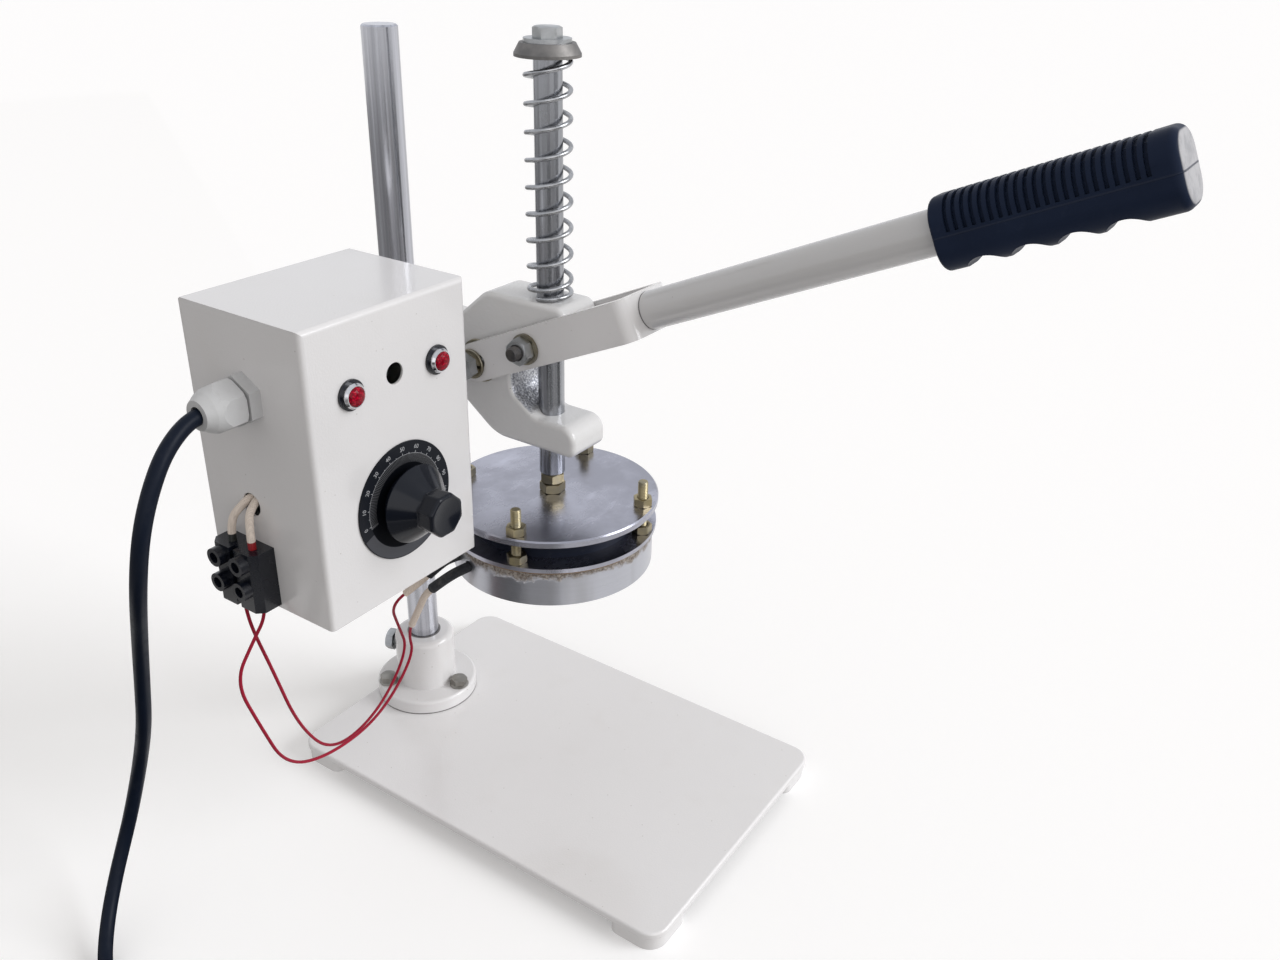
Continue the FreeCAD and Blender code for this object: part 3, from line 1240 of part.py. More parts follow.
def make_coil():
    curve, centre, start = coil_curve()
    turns = 2 * size["coil_turns"] + 0.5
    edges = wound(curve, turns, size["cord_dia"], "cord_coil")
    heading = (curve(turns + 1e-4) - curve(turns - 1e-4)).normalize()
    aside = Vector(heading.y, -heading.x, 0)
    end = curve(turns) + heading * size["cord_dia"]
    tail = [end] + [end + heading * a + aside * b + Vector(0, 0, c) for a, b, c in TAIL_STEPS]
    line = Part.Wire(edges + round_path(tail, "cord tail").Edges)
    print("cord_coil: %.0f mm long with its tail" % line.Length)
    keep("cord_coil", in_code("cord_coil", swept(line, size["cord_dia"])))
    make_plug(tail[-2], tail[-1])

    half = "(coil_pitch / 2 + cord_dia / 2 + tie_gap)"
    turn = start - math.tau * 0.75
    radius = size["coil_outer"] - size["coil_pitch"] * (0.75 + 0.5)
    rotation = Rotation(Vector(0, 0, 1), math.degrees(turn))
    mid = centre + Vector(radius * math.cos(turn), radius * math.sin(turn), size["coil_layer"] / 2)
    bands = []
    for reach, wide in ((half + " + tie_thick", "tie_wide"), (half, "2 * tie_wide")):
        block = bind(doc.addObject("Part::Box", "band"), Length="2 * (%s)" % reach, Width=wide,
                     Height="2 * (%s)" % reach)
        doc.recompute()
        corner = Vector(-block.Length.Value / 2, -block.Width.Value / 2, -block.Height.Value / 2)
        block.Placement = Placement(mid + rotation.multVec(corner), rotation)
        bands.append(block)
    keep("cord_tie", less(*bands))


def make_plug(before, end):
    """A round three-pin plug on the end of the lead."""
    rotation = Rotation(Vector(0, 0, 1), end - before)
    neck, rim = "plug_neck_dia / 2", "plug_dia / 2"
    plug = spun_piece("plug_body", end.x, end.y, end.z, rotation, ("0", "0"), (neck, "0"),
                      (neck + " + 2", "plug_neck_long"), (rim, "plug_neck_long + 6"),
                      (rim, "plug_neck_long + plug_long - 2"), (rim + " - 2", "plug_neck_long + plug_long"),
                      ("0", "plug_neck_long + plug_long"))
    keep("plug_body", plug)
    pins = []
    for x, y, radius in (("-plug_pin_pitch / 2", "-plug_earth_rise / 3", "plug_pin_dia / 2"),
                         ("plug_pin_pitch / 2", "-plug_earth_rise / 3", "plug_pin_dia / 2"),
                         ("0", "2 * plug_earth_rise / 3", "plug_earth_dia / 2")):
        pin = new_body("plug_pin")
        pad(pin, circle(sketch(pin, "XY_Plane", "plug_neck_long + plug_long"), x, y, radius), "plug_pin_long")
        pins.append(seat(pin, end.x, end.y, end.z, rotation))
    keep("plug_pins", group(*pins))


def make_cords():
    keep("cord_drop", cord(CORD_DROP, size["cord_dia"], "cord_drop"))
    keep("red_wire_a", cord(RED_WIRE_A, size["wire_dia"], "red_wire_a"))
    keep("red_wire_b", cord(RED_WIRE_B, size["wire_dia"], "red_wire_b"))
    keep("block_leads", group(in_code("lead", swept(round_path(LEAD_A, "block lead"), size["lead_dia"])),
                              in_code("lead", swept(round_path(LEAD_B, "block lead"), size["lead_dia"]))))


make_base()
make_socket()
make_column()
make_head()
make_fulcrum()
make_ram()
make_spring()
make_ram_pin()
make_heater()
make_lever()
make_box()
make_panel()
make_gland()
make_terminals()
make_cords()
make_coil()

doc.recompute()
for thing in doc.Objects:
    if "Invalid" in thing.State or "Error" in thing.State:
        raise RuntimeError("%s did not build: %s" % (thing.Name, thing.State))
os.makedirs("parts", exist_ok=True)
for label, thing in nodes.items():
    shape = thing.Shape
    if shape.isNull() or not shape.isValid() or not shape.Solids:
        raise RuntimeError("%s has no valid solid" % label)
    shape.exportStep("parts/%s.step" % label)
    print("%s: %d solids, %.0f mm3" % (label, len(shape.Solids), shape.Volume))
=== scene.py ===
import json
import logging
import math
from dataclasses import dataclass, field
from enum import Enum
from typing import Callable, Sequence, Union

import bpy
from mathutils import Matrix, Vector


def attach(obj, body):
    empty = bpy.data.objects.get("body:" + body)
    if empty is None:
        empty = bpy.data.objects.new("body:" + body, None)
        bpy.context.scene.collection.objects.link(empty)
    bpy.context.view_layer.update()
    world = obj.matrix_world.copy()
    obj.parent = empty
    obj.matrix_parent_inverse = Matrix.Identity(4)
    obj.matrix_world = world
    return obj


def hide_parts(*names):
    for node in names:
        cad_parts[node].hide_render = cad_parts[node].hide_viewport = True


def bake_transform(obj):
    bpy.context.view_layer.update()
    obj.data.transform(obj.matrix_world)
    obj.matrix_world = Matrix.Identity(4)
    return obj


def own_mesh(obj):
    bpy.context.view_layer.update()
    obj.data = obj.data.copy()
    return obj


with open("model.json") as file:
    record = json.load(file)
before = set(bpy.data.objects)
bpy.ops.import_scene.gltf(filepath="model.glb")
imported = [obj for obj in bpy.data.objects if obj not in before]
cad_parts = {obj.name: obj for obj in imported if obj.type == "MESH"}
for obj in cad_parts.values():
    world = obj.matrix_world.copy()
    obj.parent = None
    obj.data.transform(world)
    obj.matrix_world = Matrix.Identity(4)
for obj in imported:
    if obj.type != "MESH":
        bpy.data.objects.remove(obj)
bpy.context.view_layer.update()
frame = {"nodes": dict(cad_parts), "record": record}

# Looks of the hand-press lid sealer. Lengths are millimetres in the sub-assemblies and metres in the
# finishes, both in the CAD frame: +X the operator's right, +Y the back, +Z up, with the ram's axis at
# the origin on the base plate.

Colour = tuple[float, float, float, float]
Point = tuple[float, float, float]
Pair = tuple[float, float]

MM = 0.001
LOG = logging.getLogger("lid_press")
LEFT: Point = (-1.0, 0.0, 0.0)
RIGHT: Point = (1.0, 0.0, 0.0)
FRONT: Point = (0.0, -1.0, 0.0)
UP: Point = (0.0, 0.0, 1.0)
# The lever's direction at rest, along Y and Z.
LEVER_WAY: Pair = (-0.9107, 0.4131)


class Slot(str, Enum):
    """The record's material slots."""

    WHITE_PAINT = "white_paint"
    GREY_PAINT = "grey_paint"
    GROUND_STEEL = "ground_steel"
    ZINC = "zinc"
    SPRING_STEEL = "spring_steel"
    YELLOW_ZINC = "yellow_zinc"
    ALUMINIUM = "aluminium"
    BLACK_PLASTIC = "black_plastic"
    REGULATOR_CASE = "regulator_case"
    CHROME = "chrome"
    RED_LENS = "red_lens"
    NYLON = "nylon"
    GRIP_RUBBER = "grip_rubber"
    BLACK_CABLE = "black_cable"
    RED_WIRE = "red_wire"
    CREAM_SLEEVE = "cream_sleeve"
    FIBRE = "fibre"
    RELEASE = "release"
    ELEMENT = "element"


class Axis(Enum):
    """Axes of the CAD frame."""

    X = 0
    Y = 1
    Z = 2


class Signal:
    """A shader socket that takes part in Python expressions."""

    def __init__(self, graph: "Graph", socket: bpy.types.NodeSocket | None) -> None:
        """Wraps one output socket."""
        self.graph = graph
        self.socket = socket

    def _math(self, operation: str, first: "Value", second: "Value") -> "Signal":
        """One Math node on two values."""
        return self.graph.node("ShaderNodeMath", {"operation": operation}, {0: first, 1: second})

    def __add__(self, other: "Value") -> "Signal":
        """self + other."""
        return self._math("ADD", self, other)

    def __radd__(self, other: "Value") -> "Signal":
        """other + self."""
        return self._math("ADD", other, self)

    def __sub__(self, other: "Value") -> "Signal":
        """self - other."""
        return self._math("SUBTRACT", self, other)

    def __rsub__(self, other: "Value") -> "Signal":
        """other - self."""
        return self._math("SUBTRACT", other, self)

    def __mul__(self, other: "Value") -> "Signal":
        """self * other."""
        return self._math("MULTIPLY", self, other)

    def __rmul__(self, other: "Value") -> "Signal":
        """other * self."""
        return self._math("MULTIPLY", other, self)

    def __abs__(self) -> "Signal":
        """The size of self without its sign."""
        return self._math("ABSOLUTE", self, 0.0)

    def most(self, other: "Value") -> "Signal":
        """The larger of the two."""
        return self._math("MAXIMUM", self, other)

    def sine(self) -> "Signal":
        """The sine of self, in radians."""
        return self._math("SINE", self, 0.0)

    def rise(self, low: float, high: float) -> "Signal":
        """A smooth step.

        Args:
            low: the value that becomes 0.
            high: the value that becomes 1; it may be below low.

        Returns:
            A mask from 0 to 1.
        """
        return self.graph.node("ShaderNodeMapRange", {"interpolation_type": "SMOOTHSTEP"},
                               {"Value": self, "From Min": low, "From Max": high})

    def along(self, axis: Axis) -> "Signal":
        """One coordinate of a vector."""
        return self.graph.node("ShaderNodeSeparateXYZ", {}, {0: self}, axis.value)


Value = Union[Signal, float, int]
Setting = Union[str, int]


class Graph:
    """The node tree of one material or world."""

    def __init__(self, tree: bpy.types.NodeTree) -> None:
        """Starts from an empty tree."""
        self.tree = tree
        tree.nodes.clear()

    def node(self, kind: str, settings: dict[str, Setting], sockets: dict,
             output: Union[int, str] = 0) -> Signal:
        """Adds one node.

        Args:
            kind: the node's type.
            settings: properties that are set first.
            sockets: values or signals for inputs, by name or number.
            output: the number or name of the output that is handed back.

        Returns:
            That output, or an empty signal for a node that ends the tree.
        """
        made = self.tree.nodes.new(kind)
        for name, value in settings.items():
            setattr(made, name, value)
        for name, value in sockets.items():
            if isinstance(value, Signal):
                self.tree.links.new(value.socket, made.inputs[name])
            else:
                made.inputs[name].default_value = value
        return Signal(self, made.outputs[output] if made.outputs else None)

    def place(self, stretch: Point = (1, 1, 1), turn: Point = (0, 0, 0)) -> Signal:
        """The point on the piece in the CAD frame, stretched and turned for a pattern."""
        raw = self.node("ShaderNodeTexCoord", {}, {}, "Object")
        return self.node("ShaderNodeMapping", {}, {"Vector": raw, "Scale": stretch, "Rotation": turn})

    def facing(self, axis: Axis) -> Signal:
        """How much the surface faces along an axis, from -1 to 1."""
        return self.node("ShaderNodeTexCoord", {}, {}, "Normal").along(axis)

    def noise(self, scale: float, detail: float = 3.0, rough: float = 0.55,
              at: Signal | None = None) -> Signal:
        """Cloudy noise from 0 to 1 with about `scale` blots per metre."""
        return self.node("ShaderNodeTexNoise", {},
                         {"Vector": at or self.place(), "Scale": scale, "Detail": detail, "Roughness": rough})

    def cells(self, scale: float) -> Signal:
        """The distance to the middle of cells, `scale` of them per metre."""
        return self.node("ShaderNodeTexVoronoi", {}, {"Vector": self.place(), "Scale": scale})

    def edges(self, radius: float) -> Signal:
        """A mask of the outer and inner edges.

        Args:
            radius: about how wide the edges are, in metres.

        Returns:
            1 along the edges and 0 elsewhere.
        """
        flat = self.node("ShaderNodeNewGeometry", {}, {}, "Normal")
        round_normal = self.node("ShaderNodeBevel", {"samples": 4}, {"Radius": radius})
        alike = self.vector("DOT_PRODUCT", flat, round_normal, "Value")
        return alike.rise(0.985, 0.9)

    def vector(self, operation: str, first: Signal, second: Union[Signal, Point],
               output: str = "Vector") -> Signal:
        """One Vector Math node; its output is Vector, or Value for a number."""
        return self.node("ShaderNodeVectorMath", {"operation": operation}, {0: first, 1: second}, output)

    def mix(self, mask: Value, first: Union[Signal, Colour], second: Union[Signal, Colour]) -> Signal:
        """The first colour where the mask is 0 and the second where it is 1."""
        return self.node("ShaderNodeMix", {"data_type": "RGBA"}, {0: mask, 6: first, 7: second}, 2)

    def bump(self, height: Signal, depth: float) -> Signal:
        """A normal from a height of `depth` metres."""
        return self.node("ShaderNodeBump", {}, {"Height": height, "Distance": depth})

    def surface(self, sockets: dict) -> None:
        """Ends the tree in a Principled shader with these sockets."""
        shader = self.node("ShaderNodeBsdfPrincipled", {}, sockets)
        self.node("ShaderNodeOutputMaterial", {}, {"Surface": shader})


def grey(level: float) -> Colour:
    """A neutral colour."""
    return (level, level, level, 1.0)


def tint(colour: Colour, factor: float) -> Colour:
    """A colour made lighter or darker."""
    return tuple(min(1.0, part * factor) for part in colour[:3]) + (1.0,)


@dataclass(frozen=True)
class Finish:
    """A procedural finish; each kind says which sockets it sets."""

    name: str

    def sockets(self, graph: Graph) -> dict:
        """The shader's sockets for this finish."""
        raise NotImplementedError

    def material(self) -> bpy.types.Material:
        """The Blender material, made once.

        Returns:
            The material, named after the finish.
        """
        known = bpy.data.materials.get(self.name)
        if known is None:
            known = bpy.data.materials.new(self.name)
            known.use_nodes = True
            graph = Graph(known.node_tree)
            graph.surface(self.sockets(graph))
        return known


@dataclass(frozen=True)
class Enamel(Finish):
    """Glossy sprayed paint with faint clouding, dirt specks and worn edges."""

    colour: Colour
    grime: float = 0.5
    wear: float = 0.35
    peel: float = 0.00006
    rough: float = 0.17

    def paint(self, graph: Graph) -> tuple[Signal, Signal, Signal]:
        """The paint itself.

        Args:
            graph: the material's tree.

        Returns:
            Its colour, roughness and height.
        """
        cloud = graph.noise(14.0, 4.0)
        smear = graph.noise(38.0, 3.0, 0.5).rise(0.5, 0.9)
        spots = graph.cells(120.0).rise(0.055, 0.0275)
        worn = graph.edges(0.0012) * graph.noise(220.0, 4.0).rise(0.42, 0.62)
        base = graph.mix(cloud * 0.5, self.colour, tint(self.colour, 0.93))
        base = graph.mix(smear * (0.16 * self.grime), base, (0.52, 0.47, 0.4, 1.0))
        base = graph.mix(spots * (0.7 * self.grime), base, (0.2, 0.16, 0.12, 1.0))
        base = graph.mix(worn * self.wear, base, (0.34, 0.32, 0.3, 1.0))
        rough = self.rough + 0.05 * smear + 0.06 * cloud
        return base, rough, graph.noise(900.0, 2.0) + 5.0 * graph.noise(20.0, 1.0)

    def sockets(self, graph: Graph) -> dict:
        """Paint all over.

        Args:
            graph: the material's tree.

        Returns:
            Values for the shader's sockets.
        """
        base, rough, height = self.paint(graph)
        return {"Base Color": base, "Roughness": rough, "Normal": graph.bump(height, self.peel),
                "Coat Weight": 0.3, "Coat Roughness": 0.06}

    def soiled(self, graph: Graph, dirt: Signal, colour: Colour) -> dict:
        """Paint with dirt over it.

        Args:
            graph: the material's tree.
            dirt: a mask of the dirt.
            colour: the dirt's colour.

        Returns:
            Values for the shader's sockets, darker and duller under the mask.
        """
        made = Enamel.sockets(self, graph)
        return {**made, "Base Color": graph.mix(dirt * 0.85, made["Base Color"], colour),
                "Roughness": made["Roughness"] + 0.4 * dirt}


@dataclass(frozen=True)
class SocketEnamel(Enamel):
    """Paint with dark dirt in the joints to the base plate and to the column."""

    column_y: float = 0.1145
    mouth: float = 0.0105
    crevice: float = 0.0007

    def sockets(self, graph: Graph) -> dict:
        """Paint, darkened along the foot and round the column.

        Args:
            graph: the material's tree.

        Returns:
            Values for the shader's sockets.
        """
        at = graph.place()
        level = graph.vector("MULTIPLY", at, (1, 1, 0))
        apart = graph.vector("DISTANCE", level, (0, self.column_y, 0), "Value")
        uneven = self.crevice * (0.6 + 0.8 * graph.noise(140.0, 3.0))
        foot = (at.along(Axis.Z) - uneven).rise(0.0003, -0.0001)
        mouth = (apart - uneven).rise(self.mouth + 0.0003, self.mouth - 0.0001)
        return self.soiled(graph, foot.most(mouth), (0.05, 0.045, 0.04, 1.0))


@dataclass(frozen=True)
class TubeEnamel(Enamel):
    """Paint with a dark line where the tube meets the fork."""

    start: float = 0.18894
    line: float = 0.0009

    def sockets(self, graph: Graph) -> dict:
        """Paint, darkened at the tube's foot.

        Args:
            graph: the material's tree.

        Returns:
            Values for the shader's sockets.
        """
        at = graph.place()
        reach = at.along(Axis.Y) * LEVER_WAY[0] + at.along(Axis.Z) * LEVER_WAY[1]
        dirt = reach.rise(self.start + self.line, self.start + 0.5 * self.line)
        return self.soiled(graph, dirt, (0.03, 0.03, 0.035, 1.0))


@dataclass(frozen=True)
class CastEnamel(Enamel):
    """Paint on a rough casting, with a bare hammered throat."""

    throat_back: float = 0.0182
    throat_low: float = 0.2455
    throat_high: float = 0.2895

    def sockets(self, graph: Graph) -> dict:
        """Paint outside, bare cast metal inside the throat.

        Args:
            graph: the material's tree.

        Returns:
            Values for the shader's sockets.
        """
        base, rough, height = self.paint(graph)
        at = graph.place()
        inner = at.along(Axis.Y).rise(self.throat_back + 0.0002, self.throat_back - 0.0008)
        ragged = at.along(Axis.Z) + graph.noise(90.0, 3.0) * 0.005
        inner = inner * ragged.rise(self.throat_low, self.throat_low + 0.004)
        inner = inner * at.along(Axis.Z).rise(self.throat_high + 0.0006, self.throat_high - 0.0006)
        inner = inner * abs(graph.facing(Axis.X)).rise(0.75, 0.45)
        dents = graph.node("ShaderNodeTexVoronoi", {"feature": "SMOOTH_F1"},
                           {"Vector": graph.place(), "Scale": 620.0, "Smoothness": 0.5})
        fleck = graph.noise(900.0, 2.0).rise(0.42, 0.62)
        bare = graph.mix(fleck, (0.3, 0.31, 0.345, 1.0), (0.66, 0.67, 0.7, 1.0))
        lumps = graph.noise(160.0) * 0.8 + graph.noise(420.0, 2.0) * 0.35 + height * 0.15
        relief = lumps * (1 - inner) + dents * (inner * 0.9)
        return {"Base Color": graph.mix(inner, base, bare), "Metallic": inner * 0.6,
                "Roughness": rough * (1 - inner) + 0.42 * inner, "Normal": graph.bump(relief, 0.00036),
                "Coat Weight": (1 - inner) * 0.2}


@dataclass(frozen=True)
class DrawnSteel(Finish):
    """Ground or drawn bar with long streaks along its axis."""

    colour: Colour
    rough: float = 0.2
    streak: Point = (700.0, 700.0, 6.0)
    stain: float = 0.3

    def sockets(self, graph: Graph) -> dict:
        """Streaked bare metal.

        Args:
            graph: the material's tree.

        Returns:
            Values for the shader's sockets.
        """
        lines = graph.noise(1.0, 4.0, 0.6, graph.place(self.streak))
        blots = graph.noise(45.0, 5.0, 0.6).rise(0.5, 0.75)
        base = graph.mix(lines.rise(0.3, 0.7), tint(self.colour, 0.7), tint(self.colour, 1.12))
        base = graph.mix(blots * self.stain, base, (0.3, 0.27, 0.23, 1.0))
        return {"Base Color": base, "Metallic": 1.0,
                "Roughness": self.rough + 0.14 * lines + 0.4 * self.stain * blots,
                "Normal": graph.bump(lines, 0.00003)}


@dataclass(frozen=True)
class Plating(Finish):
    """Electroplated steel whose passivated film drifts between two tints."""

    colour: Colour
    film: Colour
    rough: float = 0.3

    def sockets(self, graph: Graph) -> dict:
        """Plated metal with dull patches.

        Args:
            graph: the material's tree.

        Returns:
            Values for the shader's sockets.
        """
        drift = graph.noise(110.0, 3.0).rise(0.35, 0.68)
        dull = graph.noise(380.0, 4.0)
        base = graph.mix(drift, self.colour, self.film)
        base = graph.mix(dull.rise(0.6, 0.82) * 0.4, base, (0.2, 0.19, 0.17, 1.0))
        return {"Base Color": base, "Metallic": 1.0, "Roughness": self.rough + 0.2 * dull,
                "Normal": graph.bump(graph.noise(1500.0, 2.0), 0.00003)}


@dataclass(frozen=True)
class RubbedPlate(Finish):
    """Blue-grey aluminium plate with wiped, cloudy smears."""

    colour: Colour

    def sockets(self, graph: Graph) -> dict:
        """Soft clouds, a few longer wipes and a very fine rubbing grain.

        Args:
            graph: the material's tree.

        Returns:
            Values for the shader's sockets.
        """
        cloud = graph.noise(24.0, 5.0, 0.6)
        wipe = graph.noise(1.0, 4.0, 0.65, graph.place((22.0, 70.0, 20.0), (0.0, 0.0, 0.5)))
        grain = graph.noise(1.0, 3.0, 0.6, graph.place((300.0, 2200.0, 300.0), (0.0, 0.0, 0.5)))
        pale = cloud.rise(0.4, 0.72) * 0.55 + wipe.rise(0.5, 0.78) * 0.5
        base = graph.mix(pale, tint(self.colour, 0.8), tint(self.colour, 1.48))
        return {"Base Color": base, "Metallic": 1.0, "Roughness": 0.2 + 0.16 * pale + 0.06 * grain,
                "Normal": graph.bump(grain, 0.00001)}


@dataclass(frozen=True)
class TurnedRing(Finish):
    """Turned aluminium with fibre crust that has crept down from the joint above."""

    colour: Colour
    crust_top: float = 0.1705

    def sockets(self, graph: Graph) -> dict:
        """Tool lines round the rim, scorch marks and a ragged brown crust at the top.

        Args:
            graph: the material's tree.

        Returns:
            Values for the shader's sockets.
        """
        lines = graph.noise(1.0, 3.0, 0.6, graph.place((12.0, 12.0, 2600.0)))
        fringe = graph.noise(150.0, 6.0, 0.75)
        crumbs = graph.noise(700.0, 5.0, 0.75).rise(0.38, 0.62)
        height = graph.place().along(Axis.Z) + fringe * 0.012 + graph.noise(26.0, 2.0) * 0.011
        crust = height.rise(self.crust_top + 0.0066, self.crust_top + 0.0098)
        scorch = graph.noise(1.0, 3.0, 0.6, graph.place((34.0, 34.0, 8.0))).rise(0.5, 0.72)
        base = graph.mix(lines, tint(self.colour, 0.88), tint(self.colour, 1.08))
        base = graph.mix(scorch * 0.3, base, (0.24, 0.23, 0.22, 1.0))
        brown = graph.mix(crumbs, (0.14, 0.1, 0.07, 1.0), (0.5, 0.44, 0.38, 1.0))
        return {"Base Color": graph.mix(crust * 0.9, base, brown), "Metallic": 1 - 0.95 * crust,
                "Roughness": 0.24 + 0.1 * lines + 0.08 * scorch + 0.45 * crust,
                "Normal": graph.bump(lines * 0.15 + crumbs * crust * 1.4, 0.0003)}


@dataclass(frozen=True)
class Moulded(Finish):
    """Moulded plastic or rubber with a fine grain, handling marks and dust."""

    colour: Colour
    rough: float = 0.3
    grain: float = 0.00002
    dust: float = 0.15
    gloss: float = 0.2
    shine: float = 0.5

    def sockets(self, graph: Graph) -> dict:
        """Grain in the relief, dust in the colour and roughness.

        Args:
            graph: the material's tree.

        Returns:
            Values for the shader's sockets.
        """
        cloud = graph.noise(70.0, 4.0)
        rub = graph.noise(240.0, 5.0, 0.7).rise(0.5, 0.78)
        base = graph.mix(cloud * 0.6, self.colour, tint(self.colour, 1.35))
        base = graph.mix(rub * self.dust, base, (0.3, 0.29, 0.27, 1.0))
        return {"Base Color": base, "Roughness": self.rough + 0.14 * cloud + 0.2 * rub * self.dust,
                "Normal": graph.bump(graph.noise(1800.0, 2.0), self.grain), "Coat Weight": self.gloss,
                "Coat Roughness": 0.1, "Specular IOR Level": self.shine}


@dataclass(frozen=True)
class GripRubber(Finish):
    """Navy-black rubber with a greyed end face and a moulding seam."""

    colour: Colour
    worn: Colour
    end: float = 0.4449
    seam: float = 0.2585

    def sockets(self, graph: Graph) -> dict:
        """Rubber with a worn end face, a seam on each side and dusty high spots.

        Args:
            graph: the material's tree.

        Returns:
            Values for the shader's sockets.
        """
        y, z = graph.place().along(Axis.Y), graph.place().along(Axis.Z)
        reach = y * LEVER_WAY[0] + z * LEVER_WAY[1]
        tip = reach.rise(self.end - 0.0007, self.end - 0.0002)
        across = abs(y * LEVER_WAY[1] - z * LEVER_WAY[0] - self.seam)
        seam = across.rise(0.0005, 0.0002)
        worn = tip * (1 - 0.8 * seam) * (0.75 + 0.25 * graph.noise(90.0, 5.0, 0.7).rise(0.35, 0.6))
        rub = graph.noise(170.0, 4.0, 0.7).rise(0.55, 0.8)
        base = graph.mix(graph.noise(60.0, 3.0), self.colour, tint(self.colour, 1.5))
        base = graph.mix(rub * 0.008 + seam * 0.02, base, self.worn)
        base = graph.mix(worn, base, self.worn)
        return {"Base Color": base, "Roughness": 0.4 + 0.12 * rub + 0.15 * worn, "Specular IOR Level": 0.06,
                "Normal": graph.bump(graph.noise(1400.0) * 0.2 + seam, 0.0002)}


@dataclass(frozen=True)
class Braid(Finish):
    """Woven glass sleeving with stains."""

    colour: Colour
    stain: Colour

    def sockets(self, graph: Graph) -> dict:
        """Two crossing sets of strands.

        Args:
            graph: the material's tree.

        Returns:
            Values for the shader's sockets.
        """
        strands = [graph.node("ShaderNodeTexWave", {}, {"Vector": graph.place(turn=turn), "Scale": 420.0})
                   for turn in ((0.6, 0.9, 0.785), (0.6, 0.9, -0.785))]
        weave = strands[0].most(strands[1])
        dirt = graph.noise(130.0, 4.0).rise(0.48, 0.72)
        base = graph.mix(weave, tint(self.colour, 0.82), self.colour)
        base = graph.mix(dirt * 0.35, base, self.stain)
        return {"Base Color": base, "Roughness": 0.78 + 0.1 * dirt, "Normal": graph.bump(weave, 0.00016)}


@dataclass(frozen=True)
class CuffedBraid(Braid):
    """Sleeving on the two block leads, whose lower ends show the wire's own colours."""

    near: Colour = (0.3, 0.008, 0.012, 1.0)
    far: Colour = (0.02, 0.022, 0.02, 1.0)
    cuff_top: float = 0.2235
    between: float = 0.0513

    def sockets(self, graph: Graph) -> dict:
        """Braid above, a red and a dark wire end below.

        Args:
            graph: the material's tree.

        Returns:
            Values for the shader's sockets.
        """
        made = super().sockets(graph)
        at = graph.place()
        bare = at.along(Axis.Z).rise(self.cuff_top + 0.0002, self.cuff_top - 0.0002)
        second = at.along(Axis.Y).rise(self.between - 0.001, self.between + 0.001)
        wire = graph.mix(second, self.near, self.far)
        return {**made, "Base Color": graph.mix(bare, made["Base Color"], wire),
                "Roughness": made["Roughness"] - 0.4 * bare}


@dataclass(frozen=True)
class Sheathing(Finish):
    """Extruded cable sheath with faint rings and dust."""

    colour: Colour
    rough: float = 0.38
    dust: float = 0.3
    shine: float = 0.1

    def sockets(self, graph: Graph) -> dict:
        """Nearly even colour, scuffed and dusty in patches.

        Args:
            graph: the material's tree.

        Returns:
            Values for the shader's sockets.
        """
        scuff = graph.noise(150.0, 5.0, 0.7).rise(0.5, 0.74)
        cloud = graph.noise(28.0, 3.0)
        base = graph.mix(cloud * 0.7, self.colour, tint(self.colour, 1.6))
        base = graph.mix(scuff * self.dust, base, (0.3, 0.29, 0.28, 1.0))
        return {"Base Color": base, "Roughness": self.rough + 0.2 * scuff,
                "Normal": graph.bump(graph.noise(700.0, 3.0), 0.00004), "Specular IOR Level": self.shine}


@dataclass(frozen=True)
class Jewel(Finish):
    """Cut red lamp glass."""

    colour: Colour

    def sockets(self, graph: Graph) -> dict:
        """Deep colour with brighter cells.

        Args:
            graph: the material's tree.

        Returns:
            Values for the shader's sockets.
        """
        cells = graph.cells(900.0)
        base = graph.mix(cells.rise(0.15, 0.6), tint(self.colour, 1.3), tint(self.colour, 0.5))
        return {"Base Color": base, "Roughness": 0.1 + 0.1 * cells, "Coat Weight": 0.06,
                "Coat Roughness": 0.03, "Specular IOR Level": 0.14}


@dataclass(frozen=True)
class Fibre(Finish):
    """Pressed fibre or cloth-backed sheet."""

    colour: Colour
    dark: Colour
    weave: float = 0.0

    def sockets(self, graph: Graph) -> dict:
        """Flecked felt, or a plain weave where weave is above 0.

        Args:
            graph: the material's tree.

        Returns:
            Values for the shader's sockets.
        """
        fleck = graph.noise(420.0, 6.0, 0.75)
        cloth = graph.noise(900.0, 1.0)
        if self.weave:
            at = graph.place()
            threads = [(at.along(axis) * self.weave).sine() for axis in (Axis.X, Axis.Y)]
            cloth = threads[0] * threads[1] * 0.5 + 0.5
        base = graph.mix(fleck * 0.6 + cloth * 0.4, self.dark, self.colour)
        return {"Base Color": base, "Roughness": 0.7 + 0.15 * fleck,
                "Normal": graph.bump(cloth + fleck, 0.0001)}


@dataclass(frozen=True)
class Ink(Finish):
    """Printed marks, a little uneven."""

    colour: Colour

    def sockets(self, graph: Graph) -> dict:
        """Thin print with pinholes.

        Args:
            graph: the material's tree.

        Returns:
            Values for the shader's sockets.
        """
        thin = graph.noise(1500.0, 3.0).rise(0.58, 0.75)
        base = graph.mix(thin * 0.45, self.colour, tint(self.colour, 0.5))
        return {"Base Color": base, "Roughness": 0.4 + 0.2 * thin}


@dataclass(frozen=True)
class Backdrop(Finish):
    """Paper or felt of the studio."""

    level: float
    glow: float = 0.0

    def sockets(self, graph: Graph) -> dict:
        """An even tone with a little grain.

        Args:
            graph: the material's tree.

        Returns:
            Values for the shader's sockets.
        """
        return {"Base Color": graph.mix(graph.noise(300.0), grey(self.level * 0.98), grey(self.level)),
                "Roughness": 0.9, "Specular IOR Level": 0.1, "Emission Color": grey(1.0),
                "Emission Strength": self.glow}


